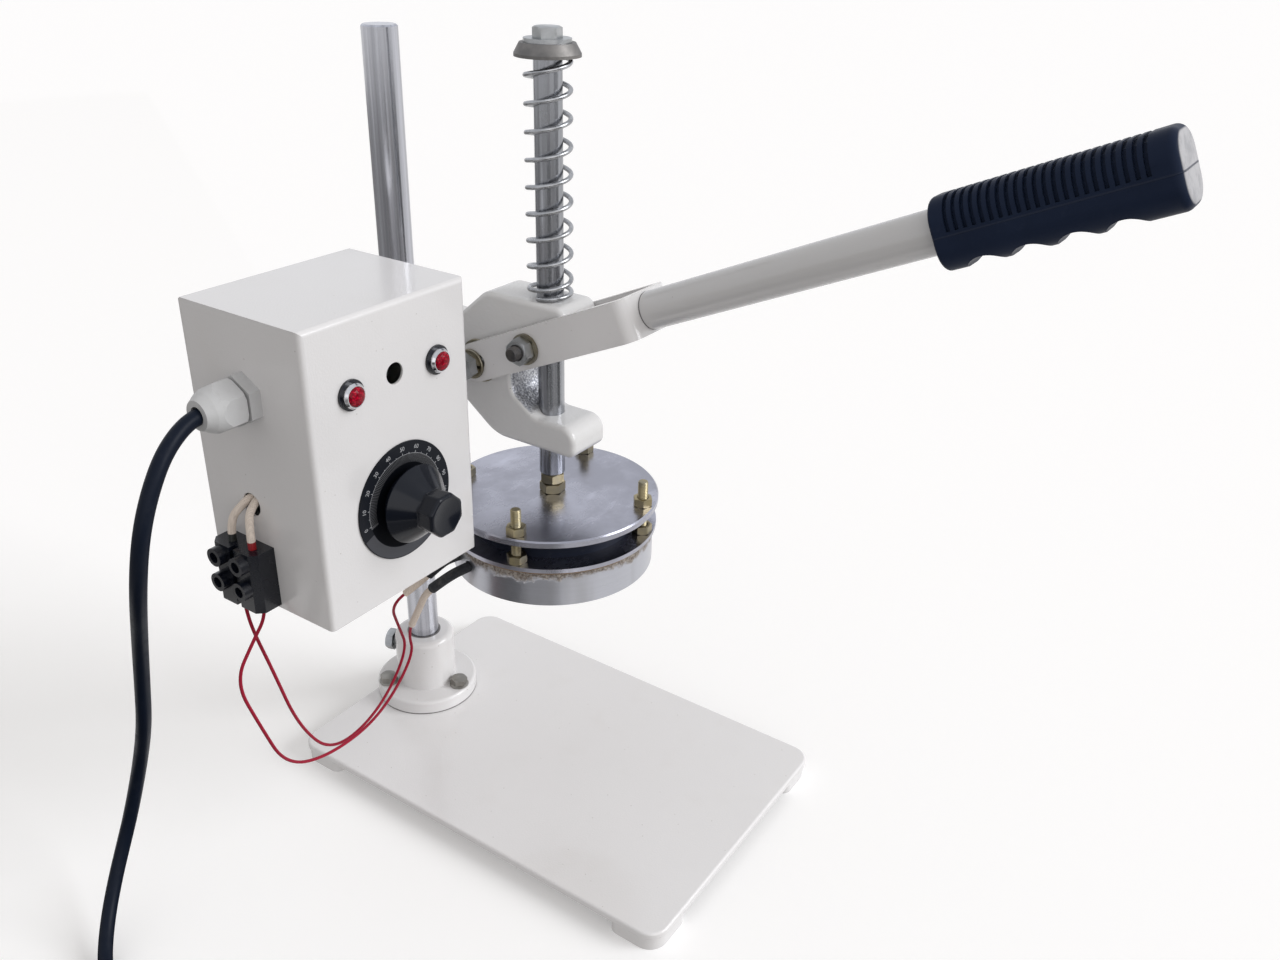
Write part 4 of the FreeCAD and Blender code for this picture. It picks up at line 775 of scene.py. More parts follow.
@dataclass(frozen=True)
class Finishes:
    """Every finish of the press."""

    white: Finish = Enamel("white_enamel", (0.738, 0.73, 0.733, 1.0))
    pale: Finish = TubeEnamel("pale_tube_enamel", (0.61, 0.607, 0.61, 1.0), grime=0.6, wear=0.5)
    base: Finish = Enamel("base_enamel", (0.81, 0.802, 0.806, 1.0))
    socket: Finish = SocketEnamel("socket_enamel", (0.738, 0.73, 0.733, 1.0), grime=0.8)
    casting: Finish = CastEnamel("cast_white_enamel", (0.71, 0.708, 0.706, 1.0), grime=1.1, wear=0.75)
    column: Finish = DrawnSteel("polished_column", (0.5, 0.508, 0.55, 1.0),
                                rough=0.12, streak=(380.0, 380.0, 4.0), stain=0.1)
    ram: Finish = DrawnSteel("ground_ram", (0.37, 0.38, 0.405, 1.0),
                             rough=0.18, streak=(500.0, 500.0, 5.0), stain=0.06)
    spring: Finish = DrawnSteel("spring_wire", (0.4, 0.405, 0.415, 1.0),
                                rough=0.2, streak=(160.0, 160.0, 160.0), stain=0.1)
    zinc: Finish = Plating("bright_zinc", (0.43, 0.44, 0.45, 1.0), film=(0.31, 0.32, 0.32, 1.0), rough=0.22)
    dull_zinc: Finish = Plating("dull_zinc", (0.21, 0.2, 0.19, 1.0),
                                film=(0.15, 0.145, 0.14, 1.0), rough=0.42)
    weathered: Finish = Plating("weathered_zinc", (0.33, 0.315, 0.29, 1.0),
                                film=(0.24, 0.23, 0.21, 1.0), rough=0.36)
    yellow: Finish = Plating("yellow_zinc_film", (0.36, 0.303, 0.178, 1.0),
                             film=(0.27, 0.242, 0.17, 1.0), rough=0.26)
    olive: Finish = Plating("olive_washer_film", (0.24, 0.215, 0.155, 1.0),
                            film=(0.3, 0.28, 0.23, 1.0), rough=0.32)
    dark_steel: Finish = Plating("oiled_steel", (0.07, 0.07, 0.075, 1.0),
                                 film=(0.12, 0.11, 0.1, 1.0), rough=0.38)
    plate: Finish = RubbedPlate("rubbed_aluminium", (0.43, 0.433, 0.492, 1.0))
    heater: Finish = TurnedRing("turned_heater", (0.505, 0.515, 0.56, 1.0))
    black: Finish = Moulded("black_moulding", (0.0058, 0.0075, 0.0125, 1.0),
                            rough=0.1, grain=0.000004, dust=0.006, gloss=0.14, shine=0.17)
    block: Finish = Moulded("block_moulding", (0.0045, 0.0058, 0.0105, 1.0),
                            rough=0.2, grain=0.00001, dust=0.012, gloss=0.2, shine=0.35)
    dial: Finish = Moulded("dial_enamel", (0.007, 0.0085, 0.0125, 1.0),
                           rough=0.36, grain=0.00001, dust=0.01, gloss=0.0, shine=0.12)
    disc: Finish = Moulded("black_insulator", (0.0065, 0.0092, 0.0185, 1.0),
                           rough=0.4, grain=0.00005, dust=0.03, gloss=0.0, shine=0.15)
    case: Finish = Moulded("regulator_moulding", (0.09, 0.09, 0.1, 1.0), rough=0.45)
    nylon: Finish = Moulded("grey_nylon", (0.48, 0.485, 0.49, 1.0),
                            rough=0.4, grain=0.00004, dust=0.2, gloss=0.1)
    chrome: Finish = DrawnSteel("chromed_brass", (0.62, 0.62, 0.64, 1.0),
                                rough=0.06, streak=(90.0, 90.0, 90.0), stain=0.1)
    lens: Finish = Jewel("red_jewel", (0.38, 0.002, 0.02, 1.0))
    rubber: Finish = GripRubber("navy_grip_rubber", (0.0104, 0.0164, 0.035, 1.0), worn=(0.5, 0.5, 0.515, 1.0))
    cable: Finish = Sheathing("black_cable_sheath", (0.004, 0.0068, 0.0145, 1.0),
                              rough=0.4, dust=0.015, shine=0.11)
    red_wire: Finish = Sheathing("red_wire_sheath", (0.27, 0.011, 0.03, 1.0), rough=0.4, dust=0.01, shine=0.1)
    dark_sleeve: Finish = Braid("black_sleeving", (0.012, 0.014, 0.018, 1.0), stain=(0.2, 0.195, 0.19, 1.0))
    cream: Finish = Braid("cream_sleeving", (0.86, 0.75, 0.65, 1.0), stain=(0.55, 0.45, 0.36, 1.0))
    cuffed: Finish = CuffedBraid("block_lead_sleeving", (0.86, 0.76, 0.67, 1.0), stain=(0.58, 0.48, 0.4, 1.0))
    fibre: Finish = Fibre("brown_fibre", (0.36, 0.25, 0.15, 1.0), dark=(0.16, 0.1, 0.06, 1.0))
    release: Finish = Fibre("release_cloth", (0.42, 0.3, 0.17, 1.0),
                            dark=(0.25, 0.17, 0.09, 1.0), weave=4200.0)
    element: Finish = Fibre("element_mica", (0.4, 0.37, 0.33, 1.0), dark=(0.22, 0.2, 0.18, 1.0))
    white_ink: Finish = Ink("white_ink", (0.45, 0.46, 0.48, 1.0))
    grey_ink: Finish = Ink("grey_ring_ink", (0.072, 0.074, 0.08, 1.0))
    slate_ink: Finish = Ink("slate_plate_ink", (0.034, 0.036, 0.046, 1.0))
    # Black print for the hatch lines, also used for the painted shadow on the dial round the knob.
    print_and_painted_shadow: Finish = Moulded("black_print_and_painted_shadow", (0.0015, 0.002, 0.0035, 1.0),
                           rough=0.55, grain=0.0, dust=0.0, gloss=0.0, shine=0.05)
    paper: Finish = Backdrop("floor_paper", level=0.98, glow=0.1)
    felt: Finish = Backdrop("dark_felt", level=0.06)
    grey_felt: Finish = Backdrop("grey_felt", level=0.36)


FINISH = Finishes()

SLOT_FINISH: dict[str, Finish] = {
    Slot.WHITE_PAINT: FINISH.white, Slot.GREY_PAINT: FINISH.pale, Slot.GROUND_STEEL: FINISH.ram,
    Slot.ZINC: FINISH.zinc, Slot.SPRING_STEEL: FINISH.spring, Slot.YELLOW_ZINC: FINISH.yellow,
    Slot.ALUMINIUM: FINISH.plate, Slot.BLACK_PLASTIC: FINISH.black, Slot.REGULATOR_CASE: FINISH.case,
    Slot.CHROME: FINISH.chrome, Slot.RED_LENS: FINISH.lens, Slot.NYLON: FINISH.nylon,
    Slot.GRIP_RUBBER: FINISH.rubber, Slot.BLACK_CABLE: FINISH.cable, Slot.RED_WIRE: FINISH.red_wire,
    Slot.CREAM_SLEEVE: FINISH.cream, Slot.FIBRE: FINISH.fibre, Slot.RELEASE: FINISH.release,
    Slot.ELEMENT: FINISH.element,
}

NODE_FINISH: dict[str, Finish] = {
    "base_plate": FINISH.base, "column_socket": FINISH.socket, "column": FINISH.column,
    "head_casting": FINISH.casting, "spring_cup": FINISH.dull_zinc, "ram_pin_washers": FINISH.olive,
    "insulating_disc": FINISH.disc, "heater_body": FINISH.heater, "terminal_block": FINISH.block,
    "lamp_washers": FINISH.block, "dial_plate": FINISH.dial,
}


def frame_on(origin: Sequence[float], axis: Sequence[float], turn: float = 0.0) -> Matrix:
    """A frame whose Z runs along an axis.

    Args:
        origin: its origin, in millimetres.
        axis: the direction of its Z.
        turn: degrees that it is turned about that axis.

    Returns:
        A matrix from millimetres in the frame to metres in the CAD frame.
    """
    lean = Vector(UP).rotation_difference(Vector(axis).normalized()).to_matrix().to_4x4()
    spin = Matrix.Rotation(math.radians(turn), 4, "Z")
    return Matrix.Scale(MM, 4) @ Matrix.Translation(origin) @ lean @ spin


def polar(radius: float, angle: float, z: float = 0.0) -> Vector:
    """The point at a radius and an angle in radians."""
    return Vector((radius * math.cos(angle), radius * math.sin(angle), z))


@dataclass
class Draft:
    """Points and faces of one piece, gathered before they become an object.

    Edges that turn by more than `crease` degrees stay sharp.
    """

    crease: float = 35.0
    points: list[Vector] = field(default_factory=list)
    faces: list[tuple[int, ...]] = field(default_factory=list)

    def loft(self, rings: Sequence[Sequence[Vector]], looped: bool = False) -> None:
        """Joins closed rings with the same number of points.

        Args:
            rings: the rings in order.
            looped: whether the last ring joins the first; if not, both are closed with a face.
        """
        first, count, last = len(self.points), len(rings[0]), len(rings) - 1
        for ring in rings:
            self.points.extend(ring)
        pairs = [(i, i + 1) for i in range(last)]
        if looped:
            pairs.append((last, 0))
        for a, b in pairs:
            for k in range(count):
                n = (k + 1) % count
                self.faces.append((first + a * count + k, first + a * count + n,
                                   first + b * count + n, first + b * count + k))
        if not looped:
            self.faces.append(tuple(first + k for k in reversed(range(count))))
            self.faces.append(tuple(first + last * count + k for k in range(count)))

    def turned(self, profile: Sequence[Pair], place: Matrix, sides: int = 48, looped: bool = False) -> None:
        """A turned form.

        Args:
            profile: its (radius, height) pairs.
            place: the frame that it stands in.
            sides: the number of its sides.
            looped: whether the profile is closed, as for a ring with a bore.
        """
        angles = [math.tau * k / sides for k in range(sides)]
        self.loft([[place @ polar(r, a, z) for a in angles] for r, z in profile], looped)

    def hexagon(self, flats: float, high: float, place: Matrix, bore: float = 0.0) -> None:
        """A bolt head with its upper corners chamfered, or a nut with both, where a bore is given.

        Args:
            flats: the size across flats.
            high: the height along the frame's Z.
            place: the frame that it stands in.
            bore: the bore's radius, 0 for a head.
        """
        sides, crown, slope, lead_in = 72, flats / 2 * 0.97, 0.55, 0.5
        angles = [math.tau * k / sides for k in range(sides)]
        reach = [flats / 2 / math.cos((a % (math.pi / 3)) - math.pi / 6) for a in angles]
        drop = [max(0.0, r - crown) * slope for r in reach]

        def ring(radii: Sequence[float], heights: Sequence[float]) -> list[Vector]:
            """One closed ring of points."""
            return [place @ polar(r, a, z) for a, r, z in zip(angles, radii, heights)]

        def circle(radius: float, z: float) -> list[Vector]:
            """One round ring of points."""
            return ring([radius] * sides, [z] * sides)

        rings = [circle(crown, 0.0), ring(reach, drop if bore else [0.0] * sides),
                 ring(reach, [high - d for d in drop]), circle(crown, high)]
        if bore:
            mouth = bore + lead_in
            rings = [circle(mouth, 0.0), *rings, circle(mouth, high),
                     circle(bore, high - lead_in), circle(bore, lead_in)]
        self.loft(rings, bool(bore))

    def thread(self, radius: float, long: float, pitch: float, place: Matrix) -> None:
        """A bar with a helical thread and a chamfered tip.

        Args:
            radius: the radius over the thread.
            long: its length along the frame's Z.
            pitch: the thread's pitch.
            place: the frame that it stands in.
        """
        sides, steps, depth = 24, 6, pitch * 0.5
        tip = depth * 1.2
        count = max(4, round(long / pitch * steps))
        rings = []
        for i in range(count + 1):
            z = long * i / count
            limit = radius - max(0.0, z - (long - tip))
            ring = []
            for k in range(sides):
                phase = (z / pitch - k / sides) % 1.0
                r = min(radius - depth * abs(2 * phase - 1), limit)
                ring.append(place @ polar(r, math.tau * k / sides, z))
            rings.append(ring)
        self.loft(rings)

    def tube(self, path: Sequence[Vector], radius: float, sides: int = 14) -> None:
        """A round tube with closed ends.

        Args:
            path: the points of its middle line, in metres.
            radius: its radius, in metres.
            sides: the number of its sides.
        """
        heading = (path[1] - path[0]).normalized()
        side = heading.orthogonal().normalized()
        angles = [math.tau * k / sides for k in range(sides)]
        rings = []
        for i, spot in enumerate(path):
            onward = (path[min(i + 1, len(path) - 1)] - path[max(i - 1, 0)]).normalized()
            side = heading.rotation_difference(onward) @ side
            side = (side - onward * side.dot(onward)).normalized()
            heading, other = onward, onward.cross(side)
            rings.append([spot + (side * math.cos(a) + other * math.sin(a)) * radius for a in angles])
        self.loft(rings)

    def block(self, low: Point, high: Point, place: Matrix) -> None:
        """A small straight bar between two corners, for printed marks."""
        corners = ((low[0], low[1]), (high[0], low[1]), (high[0], high[1]), (low[0], high[1]))
        self.loft([[place @ Vector((x, y, z)) for x, y in corners] for z in (low[2], high[2])])

    def piece(self, name: str, finish: Finish, slot: Slot) -> bpy.types.Object:
        """Makes the object.

        Args:
            name: the piece's name.
            finish: its finish.
            slot: the record's slot that it belongs to; not used.

        Returns:
            The object, not yet on a body.
        """
        mesh = bpy.data.meshes.new(name)
        mesh.from_pydata([tuple(p) for p in self.points], [], self.faces)
        mesh.validate()
        mesh.shade_smooth()
        mesh.set_sharp_from_angle(angle=math.radians(self.crease))
        mesh.materials.append(finish.material())
        made = bpy.data.objects.new(name, mesh)
        bpy.context.scene.collection.objects.link(made)
        LOG.info("piece %s: %d faces", name, len(mesh.polygons))
        return made

    def mount(self, name: str, finish: Finish, slot: Slot, body: str, *nodes: str) -> bpy.types.Object:
        """Makes the object and puts it on a body.

        Args:
            name: the piece's name.
            finish: its finish.
            slot: the record's slot that it belongs to.
            body: the body that it moves with.
            nodes: the CAD nodes that it stands for.

        Returns:
            The object.
        """
        made = self.piece(name, finish, slot)
        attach(made, body)
        if nodes:
            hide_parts(*nodes)
        return made


def meshed(curve: bpy.types.Curve) -> tuple[list[Vector], list[tuple[int, ...]]]:
    """Turns a curve into a mesh and removes both.

    Args:
        curve: the curve.

    Returns:
        The mesh's points and faces.
    """
    holder = bpy.data.objects.new(curve.name, curve)
    bpy.context.scene.collection.objects.link(holder)
    bpy.context.view_layer.update()
    mesh = bpy.data.meshes.new_from_object(holder)
    points = [vertex.co.copy() for vertex in mesh.vertices]
    faces = [tuple(face.vertices) for face in mesh.polygons]
    bpy.data.objects.remove(holder)
    bpy.data.curves.remove(curve)
    bpy.data.meshes.remove(mesh)
    return points, faces


def smooth_line(route: Sequence[Sequence[float]]) -> list[Vector]:
    """The smooth line of a route.

    Args:
        route: control points in millimetres.

    Returns:
        Points along the NURBS line, in metres.
    """
    curve = bpy.data.curves.new("route", "CURVE")
    curve.dimensions = "3D"
    curve.resolution_u = 10
    spline = curve.splines.new("NURBS")
    spline.points.add(len(route) - 1)
    for point, spot in zip(spline.points, route):
        point.co = (spot[0] * MM, spot[1] * MM, spot[2] * MM, 1.0)
    spline.order_u = 3
    spline.use_endpoint_u = True
    return meshed(curve)[0]


def length(line: Sequence[Vector]) -> float:
    """The length of a line of points."""
    return sum((b - a).length for a, b in zip(line, line[1:]))


@dataclass(frozen=True)
class Lamp:
    """A soft, far lamp: its direction, strength, angular size in degrees and colour."""

    name: str
    shines_from: Point
    energy: float
    spread: float
    colour: Point

    def hang(self) -> None:
        """Puts the lamp in the scene."""
        sun = bpy.data.lights.new(self.name, "SUN")
        sun.energy, sun.angle, sun.color = self.energy, math.radians(self.spread), self.colour
        made = bpy.data.objects.new(self.name, sun)
        made.rotation_euler = Vector(self.shines_from).to_track_quat("Z", "Y").to_euler()
        bpy.context.scene.collection.objects.link(made)


@dataclass
class Studio:
    """Camera, floor and light; the floor's half width and the reach of the cloths are metres."""

    eye: Point = (-463.155, -366.251, 501.437)
    yaw: float = 0.988
    pitch: float = 0.474
    roll: float = 0.028
    focal: float = 1137.192
    image_width: float = 1280.0
    floor_z: float = -13.0
    floor_half: float = 20.0
    key: Lamp = Lamp("key", (0.35, -0.8, 0.49), energy=1.85, spread=35.0, colour=(0.97, 0.98, 1.0))
    fill: Lamp = Lamp("fill", (-0.62, -0.78, 0.12), energy=0.55, spread=60.0, colour=(1.0, 0.96, 0.93))
    room_low: float = 0.34
    room_rise: float = 0.3
    room_seen: float = 0.96
    room_warm: Colour = (1.0, 0.978, 0.965, 1.0)
    room_shine: Colour = (0.93, 0.95, 1.0, 1.0)
    cloth_lift: float = 0.5
    near: Pair = (0.2, 0.46)
    far: Pair = (0.5, 3.0)
    dark_near: tuple[Pair, ...] = ((146.0, 186.0),)
    dark_far: tuple[Pair, ...] = ((200.0, 232.0), (272.0, 298.0))
    grey_near: tuple[Pair, ...] = ((186.0, 226.0),)
    grey_far: tuple[Pair, ...] = ((60.0, 198.0), (236.0, 268.0))

    def camera(self) -> None:
        """The camera at the photograph's view."""
        level = math.cos(self.pitch)
        forward = Vector((math.sin(self.yaw) * level, math.cos(self.yaw) * level, -math.sin(self.pitch)))
        right = Vector((math.cos(self.yaw), -math.sin(self.yaw), 0))
        up = right.cross(forward)
        across = right * math.cos(self.roll) + up * math.sin(self.roll)
        tall = up * math.cos(self.roll) - right * math.sin(self.roll)
        lens = bpy.data.cameras.new("camera")
        lens.sensor_fit, lens.sensor_width = "HORIZONTAL", 36.0
        lens.lens = self.focal * lens.sensor_width / self.image_width
        lens.clip_start, lens.clip_end = 0.01, 100.0
        made = bpy.data.objects.new("camera", lens)
        turn = Matrix((across, tall, -forward)).transposed().to_4x4()
        made.matrix_world = Matrix.Translation(Vector(self.eye) * MM) @ turn
        bpy.context.scene.collection.objects.link(made)
        bpy.context.scene.camera = made

    def sheet(self, name: str, points: Sequence[Point], faces: Sequence[tuple[int, ...]],
              finish: Finish) -> bpy.types.Object:
        """A backdrop that isn't part of the press.

        Args:
            name: its name.
            points: its corners in metres.
            faces: its faces.
            finish: its finish.

        Returns:
            The object.
        """
        mesh = bpy.data.meshes.new(name)
        mesh.from_pydata(points, [], faces)
        mesh.materials.append(finish.material())
        made = bpy.data.objects.new(name, mesh)
        bpy.context.scene.collection.objects.link(made)
        return made

    def floor(self) -> None:
        """A wide pale floor that takes the shadow."""
        half = self.floor_half
        corners = ((-half, -half), (half, -half), (half, half), (-half, half))
        spots = [(x, y, self.floor_z * MM) for x, y in corners]
        laid = self.sheet("floor", spots, [(0, 1, 2, 3)], FINISH.paper)
        laid.visible_diffuse = False

    def cloths(self, name: str, finish: Finish, *rows: tuple[Pair, tuple[Pair, ...]]) -> None:
        """Cloths laid out on the floor, seen only in the shine of the metal and the paint.

        Args:
            name: the name of the whole set.
            finish: their finish.
            rows: the nearest and furthest reach of a row, and each cloth's first and last bearing in it.
        """
        points, faces, steps = [], [], 6
        z = (self.floor_z + self.cloth_lift) * MM
        for reach, turns in rows:
            for first, last in turns:
                for step in range(steps + 1):
                    angle = math.radians(first + (last - first) * step / steps)
                    points += [tuple(polar(r, angle, z)) for r in reach]
                    k = len(points)
                    if step:
                        faces.append((k - 4, k - 3, k - 1, k - 2))
        laid = self.sheet(name, points, faces, finish)
        laid.visible_camera = laid.visible_diffuse = laid.visible_shadow = False

    def room(self) -> None:
        """A white room that lights less from below."""
        world = bpy.data.worlds.new("room")
        bpy.context.scene.world = world
        world.use_nodes = True
        graph = Graph(world.node_tree)
        way = graph.node("ShaderNodeTexCoord", {}, {}, "Generated")
        level = self.room_low + self.room_rise * way.along(Axis.Z).rise(-0.3, 0.8)
        rays = [graph.node("ShaderNodeLightPath", {}, {}, "Is %s Ray" % kind)
                for kind in ("Camera", "Glossy", "Transmission")]
        seen = rays[0].most(rays[1]).most(rays[2])
        strength = level * (1 - seen) + seen * self.room_seen
        colour = graph.mix(rays[1], graph.mix(seen, self.room_warm, grey(1.0)), self.room_shine)
        shade = graph.node("ShaderNodeBackground", {}, {"Color": colour, "Strength": strength})
        graph.node("ShaderNodeOutputWorld", {}, {"Surface": shade})

    def build(self) -> None:
        """Camera, floor, light and colour."""
        self.camera()
        self.floor()
        self.cloths("dark_cloths", FINISH.felt, (self.near, self.dark_near), (self.far, self.dark_far))
        self.cloths("grey_cloths", FINISH.grey_felt, (self.near, self.grey_near), (self.far, self.grey_far))
        self.key.hang()
        self.fill.hang()
        self.room()
        bpy.context.scene.view_settings.view_transform = "Standard"


@dataclass(frozen=True)
class Metric:
    """The sizes that belong to one metric thread."""

    flats: float
    radius: float
    pitch: float
    head: float
    nut: float


M6 = Metric(flats=10.0, radius=3.0, pitch=1.0, head=4.0, nut=5.0)
M8 = Metric(flats=13.0, radius=4.0, pitch=1.25, head=5.3, nut=6.5)


@dataclass
class Fasteners:
    """Standard bolts and nuts, built with chamfers and threads."""

    face_share: float = 0.47
    face_high: float = 0.25
    sunk: float = 0.2

    def head(self, draft: Draft, size: Metric, high: float, at: Sequence[float], axis: Sequence[float],
             turn: float) -> None:
        """A hexagon head with a slightly proud washer face.

        Args:
            draft: where it is added.
            size: its thread.
            high: its height.
            at: the middle of its seat.
            axis: the way that it faces.
            turn: degrees that its corners are turned.
        """
        place = frame_on(at, axis, turn)
        face = size.flats * self.face_share
        draft.turned([(face, 0.0), (face, self.face_high)], place, 36)
        draft.hexagon(size.flats, high, place)

    def nut(self, draft: Draft, size: Metric, high: float, at: Sequence[float], axis: Sequence[float],
            turn: float) -> None:
        """A plain hexagon nut."""
        draft.hexagon(size.flats, high, frame_on(at, axis, turn), size.radius)

    def screw(self, draft: Draft, size: Metric, long: float, at: Sequence[float],
              axis: Sequence[float]) -> None:
        """A threaded bar."""
        draft.thread(size.radius, long, size.pitch, frame_on(at, axis))

    def shank(self, draft: Draft, size: Metric, deep: float, place: Matrix) -> None:
        """A plain bar down into the work, whose thread is hidden."""
        draft.turned([(size.radius, -deep), (size.radius, self.sunk)], place, 24)


@dataclass
class Stand:
    """The bolts of the column socket on the base plate."""

    column_y: float = 114.5
    bolt_circle: float = 27.0
    bolt_turns: tuple[float, ...] = (146.0, 278.0, 32.0)
    bolt_twist: float = 17.0
    bolt_deep: float = 13.5
    bolt_flange: tuple[Pair, ...] = ((6.1, 0.0), (6.5, 0.3), (6.5, 0.8), (5.4, 1.5), (4.6, 1.7))
    flange_top: float = 9.5
    hexagon_lift: float = 1.4
    set_turn: float = 110.0
    set_twist: float = 12.0
    set_z: float = 34.0
    set_reach: float = 22.0
    set_long: float = 11.95

    def build(self, shop: Fasteners) -> None:
        """The flanged bolts of the socket and the bolt that grips the column.

        Args:
            shop: makes the standard fasteners.
        """
        bolts, grip = Draft(), Draft()
        column = Vector((0.0, self.column_y, 0.0))
        for i, turn in enumerate(self.bolt_turns):
            foot = column + polar(self.bolt_circle, math.radians(turn), self.flange_top)
            place = frame_on(foot, UP, self.bolt_twist * i)
            bolts.turned(self.bolt_flange, place)
            bolts.hexagon(M6.flats, M6.head, place @ Matrix.Translation((0.0, 0.0, self.hexagon_lift)))
            shop.shank(bolts, M6, self.bolt_deep, place)
        bolts.mount("socket_flange_bolts", FINISH.weathered, Slot.ZINC, "frame", "socket_bolts")
        out = polar(1.0, math.radians(self.set_turn))
        seat = column + out * self.set_reach + Vector((0.0, 0.0, self.set_z))
        shop.head(grip, M8, M8.head, seat, out, self.set_twist)
        shop.screw(grip, M8, self.set_long, seat, -out)
        grip.mount("column_set_bolt", FINISH.zinc, Slot.ZINC, "frame", "socket_set_bolt")


@dataclass
class Head:
    """Fasteners of the head casting: clamp bolts and the fulcrum bolt."""

    ear_y: float = 141.5
    ear_half: float = 14.0
    clamp_zs: tuple[float, ...] = (252.0, 282.0)
    clamp_spare: float = 9.5
    clamp_twists: Pair = (8.0, 21.0)
    fulcrum: Pair = (38.5, 268.036)
    fulcrum_high: float = 6.0
    fulcrum_spare: float = 7.0
    fulcrum_twists: Pair = (10.0, 25.0)
    cheek: float = 15.0
    stack: float = 21.8
    bore: float = 4.1
    rolled: tuple[float, float, float] = (0.2, 0.3, 0.35)
    inner_washer: Pair = (25.0, 1.2)
    outer_washer: Pair = (17.0, 1.6)
    lock_washer: Pair = (14.0, 2.0)
    lock_bore: float = 4.15
    split_half: float = 8.0
    split_lean: float = 0.16

    def build(self, shop: Fasteners) -> None:
        """Bolts, nuts and washers.

        Args:
            shop: makes the standard fasteners.
        """
        clamp = Draft()
        for z in self.clamp_zs:
            left, right = (-self.ear_half, self.ear_y, z), (self.ear_half, self.ear_y, z)
            shop.head(clamp, M8, M8.head, left, LEFT, self.clamp_twists[0])
            shop.screw(clamp, M8, 2 * self.ear_half + self.clamp_spare, left, RIGHT)
            shop.nut(clamp, M8, M8.nut, right, RIGHT, self.clamp_twists[1])
        clamp.mount("clamp_bolts_and_nuts", FINISH.zinc, Slot.ZINC, "head", "head_clamp_bolts")
        self.fulcrum_set(shop)

    def fulcrum_set(self, shop: Fasteners) -> None:
        """The bolt that the fork's tails turn on, with its washers.

        Args:
            shop: makes the standard fasteners.
        """
        y, z = self.fulcrum
        collar = self.stack + self.outer_washer[1]
        reach = collar + self.lock_washer[1]
        bolt, nut, washers = Draft(), Draft(), Draft()
        shop.head(bolt, M8, self.fulcrum_high, (-reach, y, z), LEFT, self.fulcrum_twists[0])
        shop.screw(bolt, M8, 2 * reach + self.fulcrum_spare, (-reach, y, z), RIGHT)
        shop.nut(nut, M8, self.fulcrum_high, (reach, y, z), RIGHT, self.fulcrum_twists[1])
        for sign, way in ((-1.0, LEFT), (1.0, RIGHT)):
            self.washer(washers, self.inner_washer, frame_on((sign * self.cheek, y, z), way))
            self.washer(washers, self.outer_washer, frame_on((sign * self.stack, y, z), way))
            self.split_washer(washers, frame_on((sign * collar, y, z), way, -90.0))
        bolt.mount("fulcrum_hex_bolt", FINISH.zinc, Slot.ZINC, "head", "fulcrum_bolt")
        nut.mount("fulcrum_hex_nut", FINISH.zinc, Slot.ZINC, "head", "fulcrum_nut")
        washers.mount("fulcrum_washer_set", FINISH.olive, Slot.ZINC, "head", "fulcrum_washers")

    def washer(self, draft: Draft, size: Pair, place: Matrix) -> None:
        """A stamped washer with a rolled rim.

        Args:
            draft: where it is added.
            size: its diameter and thickness.
            place: the frame that it stands in.
        """
        outer, thick, bore = size[0] / 2, size[1], self.bore
        small, under, over = self.rolled
        draft.turned([(bore, 0.0), (outer - small, 0.0), (outer, under), (outer, thick - over),
                      (outer - over, thick), (bore + small, thick), (bore, thick - small)], place, 64, True)

    def split_washer(self, draft: Draft, place: Matrix) -> None:
        """A spring washer with its slanted split.

        Args:
            draft: where it is added.
            place: the frame that it stands in.
        """
        outer, thick, steps = self.lock_washer[0] / 2, self.lock_washer[1], 48
        section = ((self.lock_bore, 0.0), (outer, 0.0), (outer, thick), (self.lock_bore, thick))
        rings = []
        for i in range(steps + 1):
            angle = math.radians(self.split_half + (360.0 - 2 * self.split_half) * i / steps)
            rings.append([place @ polar(r, angle + self.split_lean * (z / thick - 0.5), z)
                          for r, z in section])
        draft.loft(rings)


@dataclass
class ReturnSpring:
    """The coil spring on the ram."""

    low: float = 310.427
    high: float = 434.573
    radius: float = 11.3
    wire: float = 2.5
    turns: float = 10.5
    end_pitch: float = 3.6
    foot: float = 309.0
    steps: int = 40

    def height(self, t: float) -> float:
        """The wire's height; the end turns are closed.

        Args:
            t: turns from the lower end.

        Returns:
            The height in millimetres.
        """
        open_rise = (self.high - self.low - 2 * self.end_pitch) / (self.turns - 2)
        spare = 0.0
        for edge, sign in ((1.0, 1.0), (self.turns - 1.0, -1.0)):
            u = min(max(t - edge + 0.5, 0.0), 1.0)
            spare += sign * (u ** 3 - u ** 4 / 2 + max(t - edge - 0.5, 0.0)) * (open_rise - self.end_pitch)
        return self.low + self.end_pitch * t + spare

    def build(self) -> None:
        """A wound wire."""
        count = int(self.turns * self.steps)
        winds = [self.turns * i / count for i in range(count + 1)]
        line = [polar(self.radius, math.tau * t + math.pi, self.height(t)) * MM for t in winds]
        draft = Draft()
        draft.tube(line, self.wire / 2 * MM, 12)
        piece = draft.mount("wound_return_spring", FINISH.spring, Slot.SPRING_STEEL, "head", "return_spring")
        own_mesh(piece)


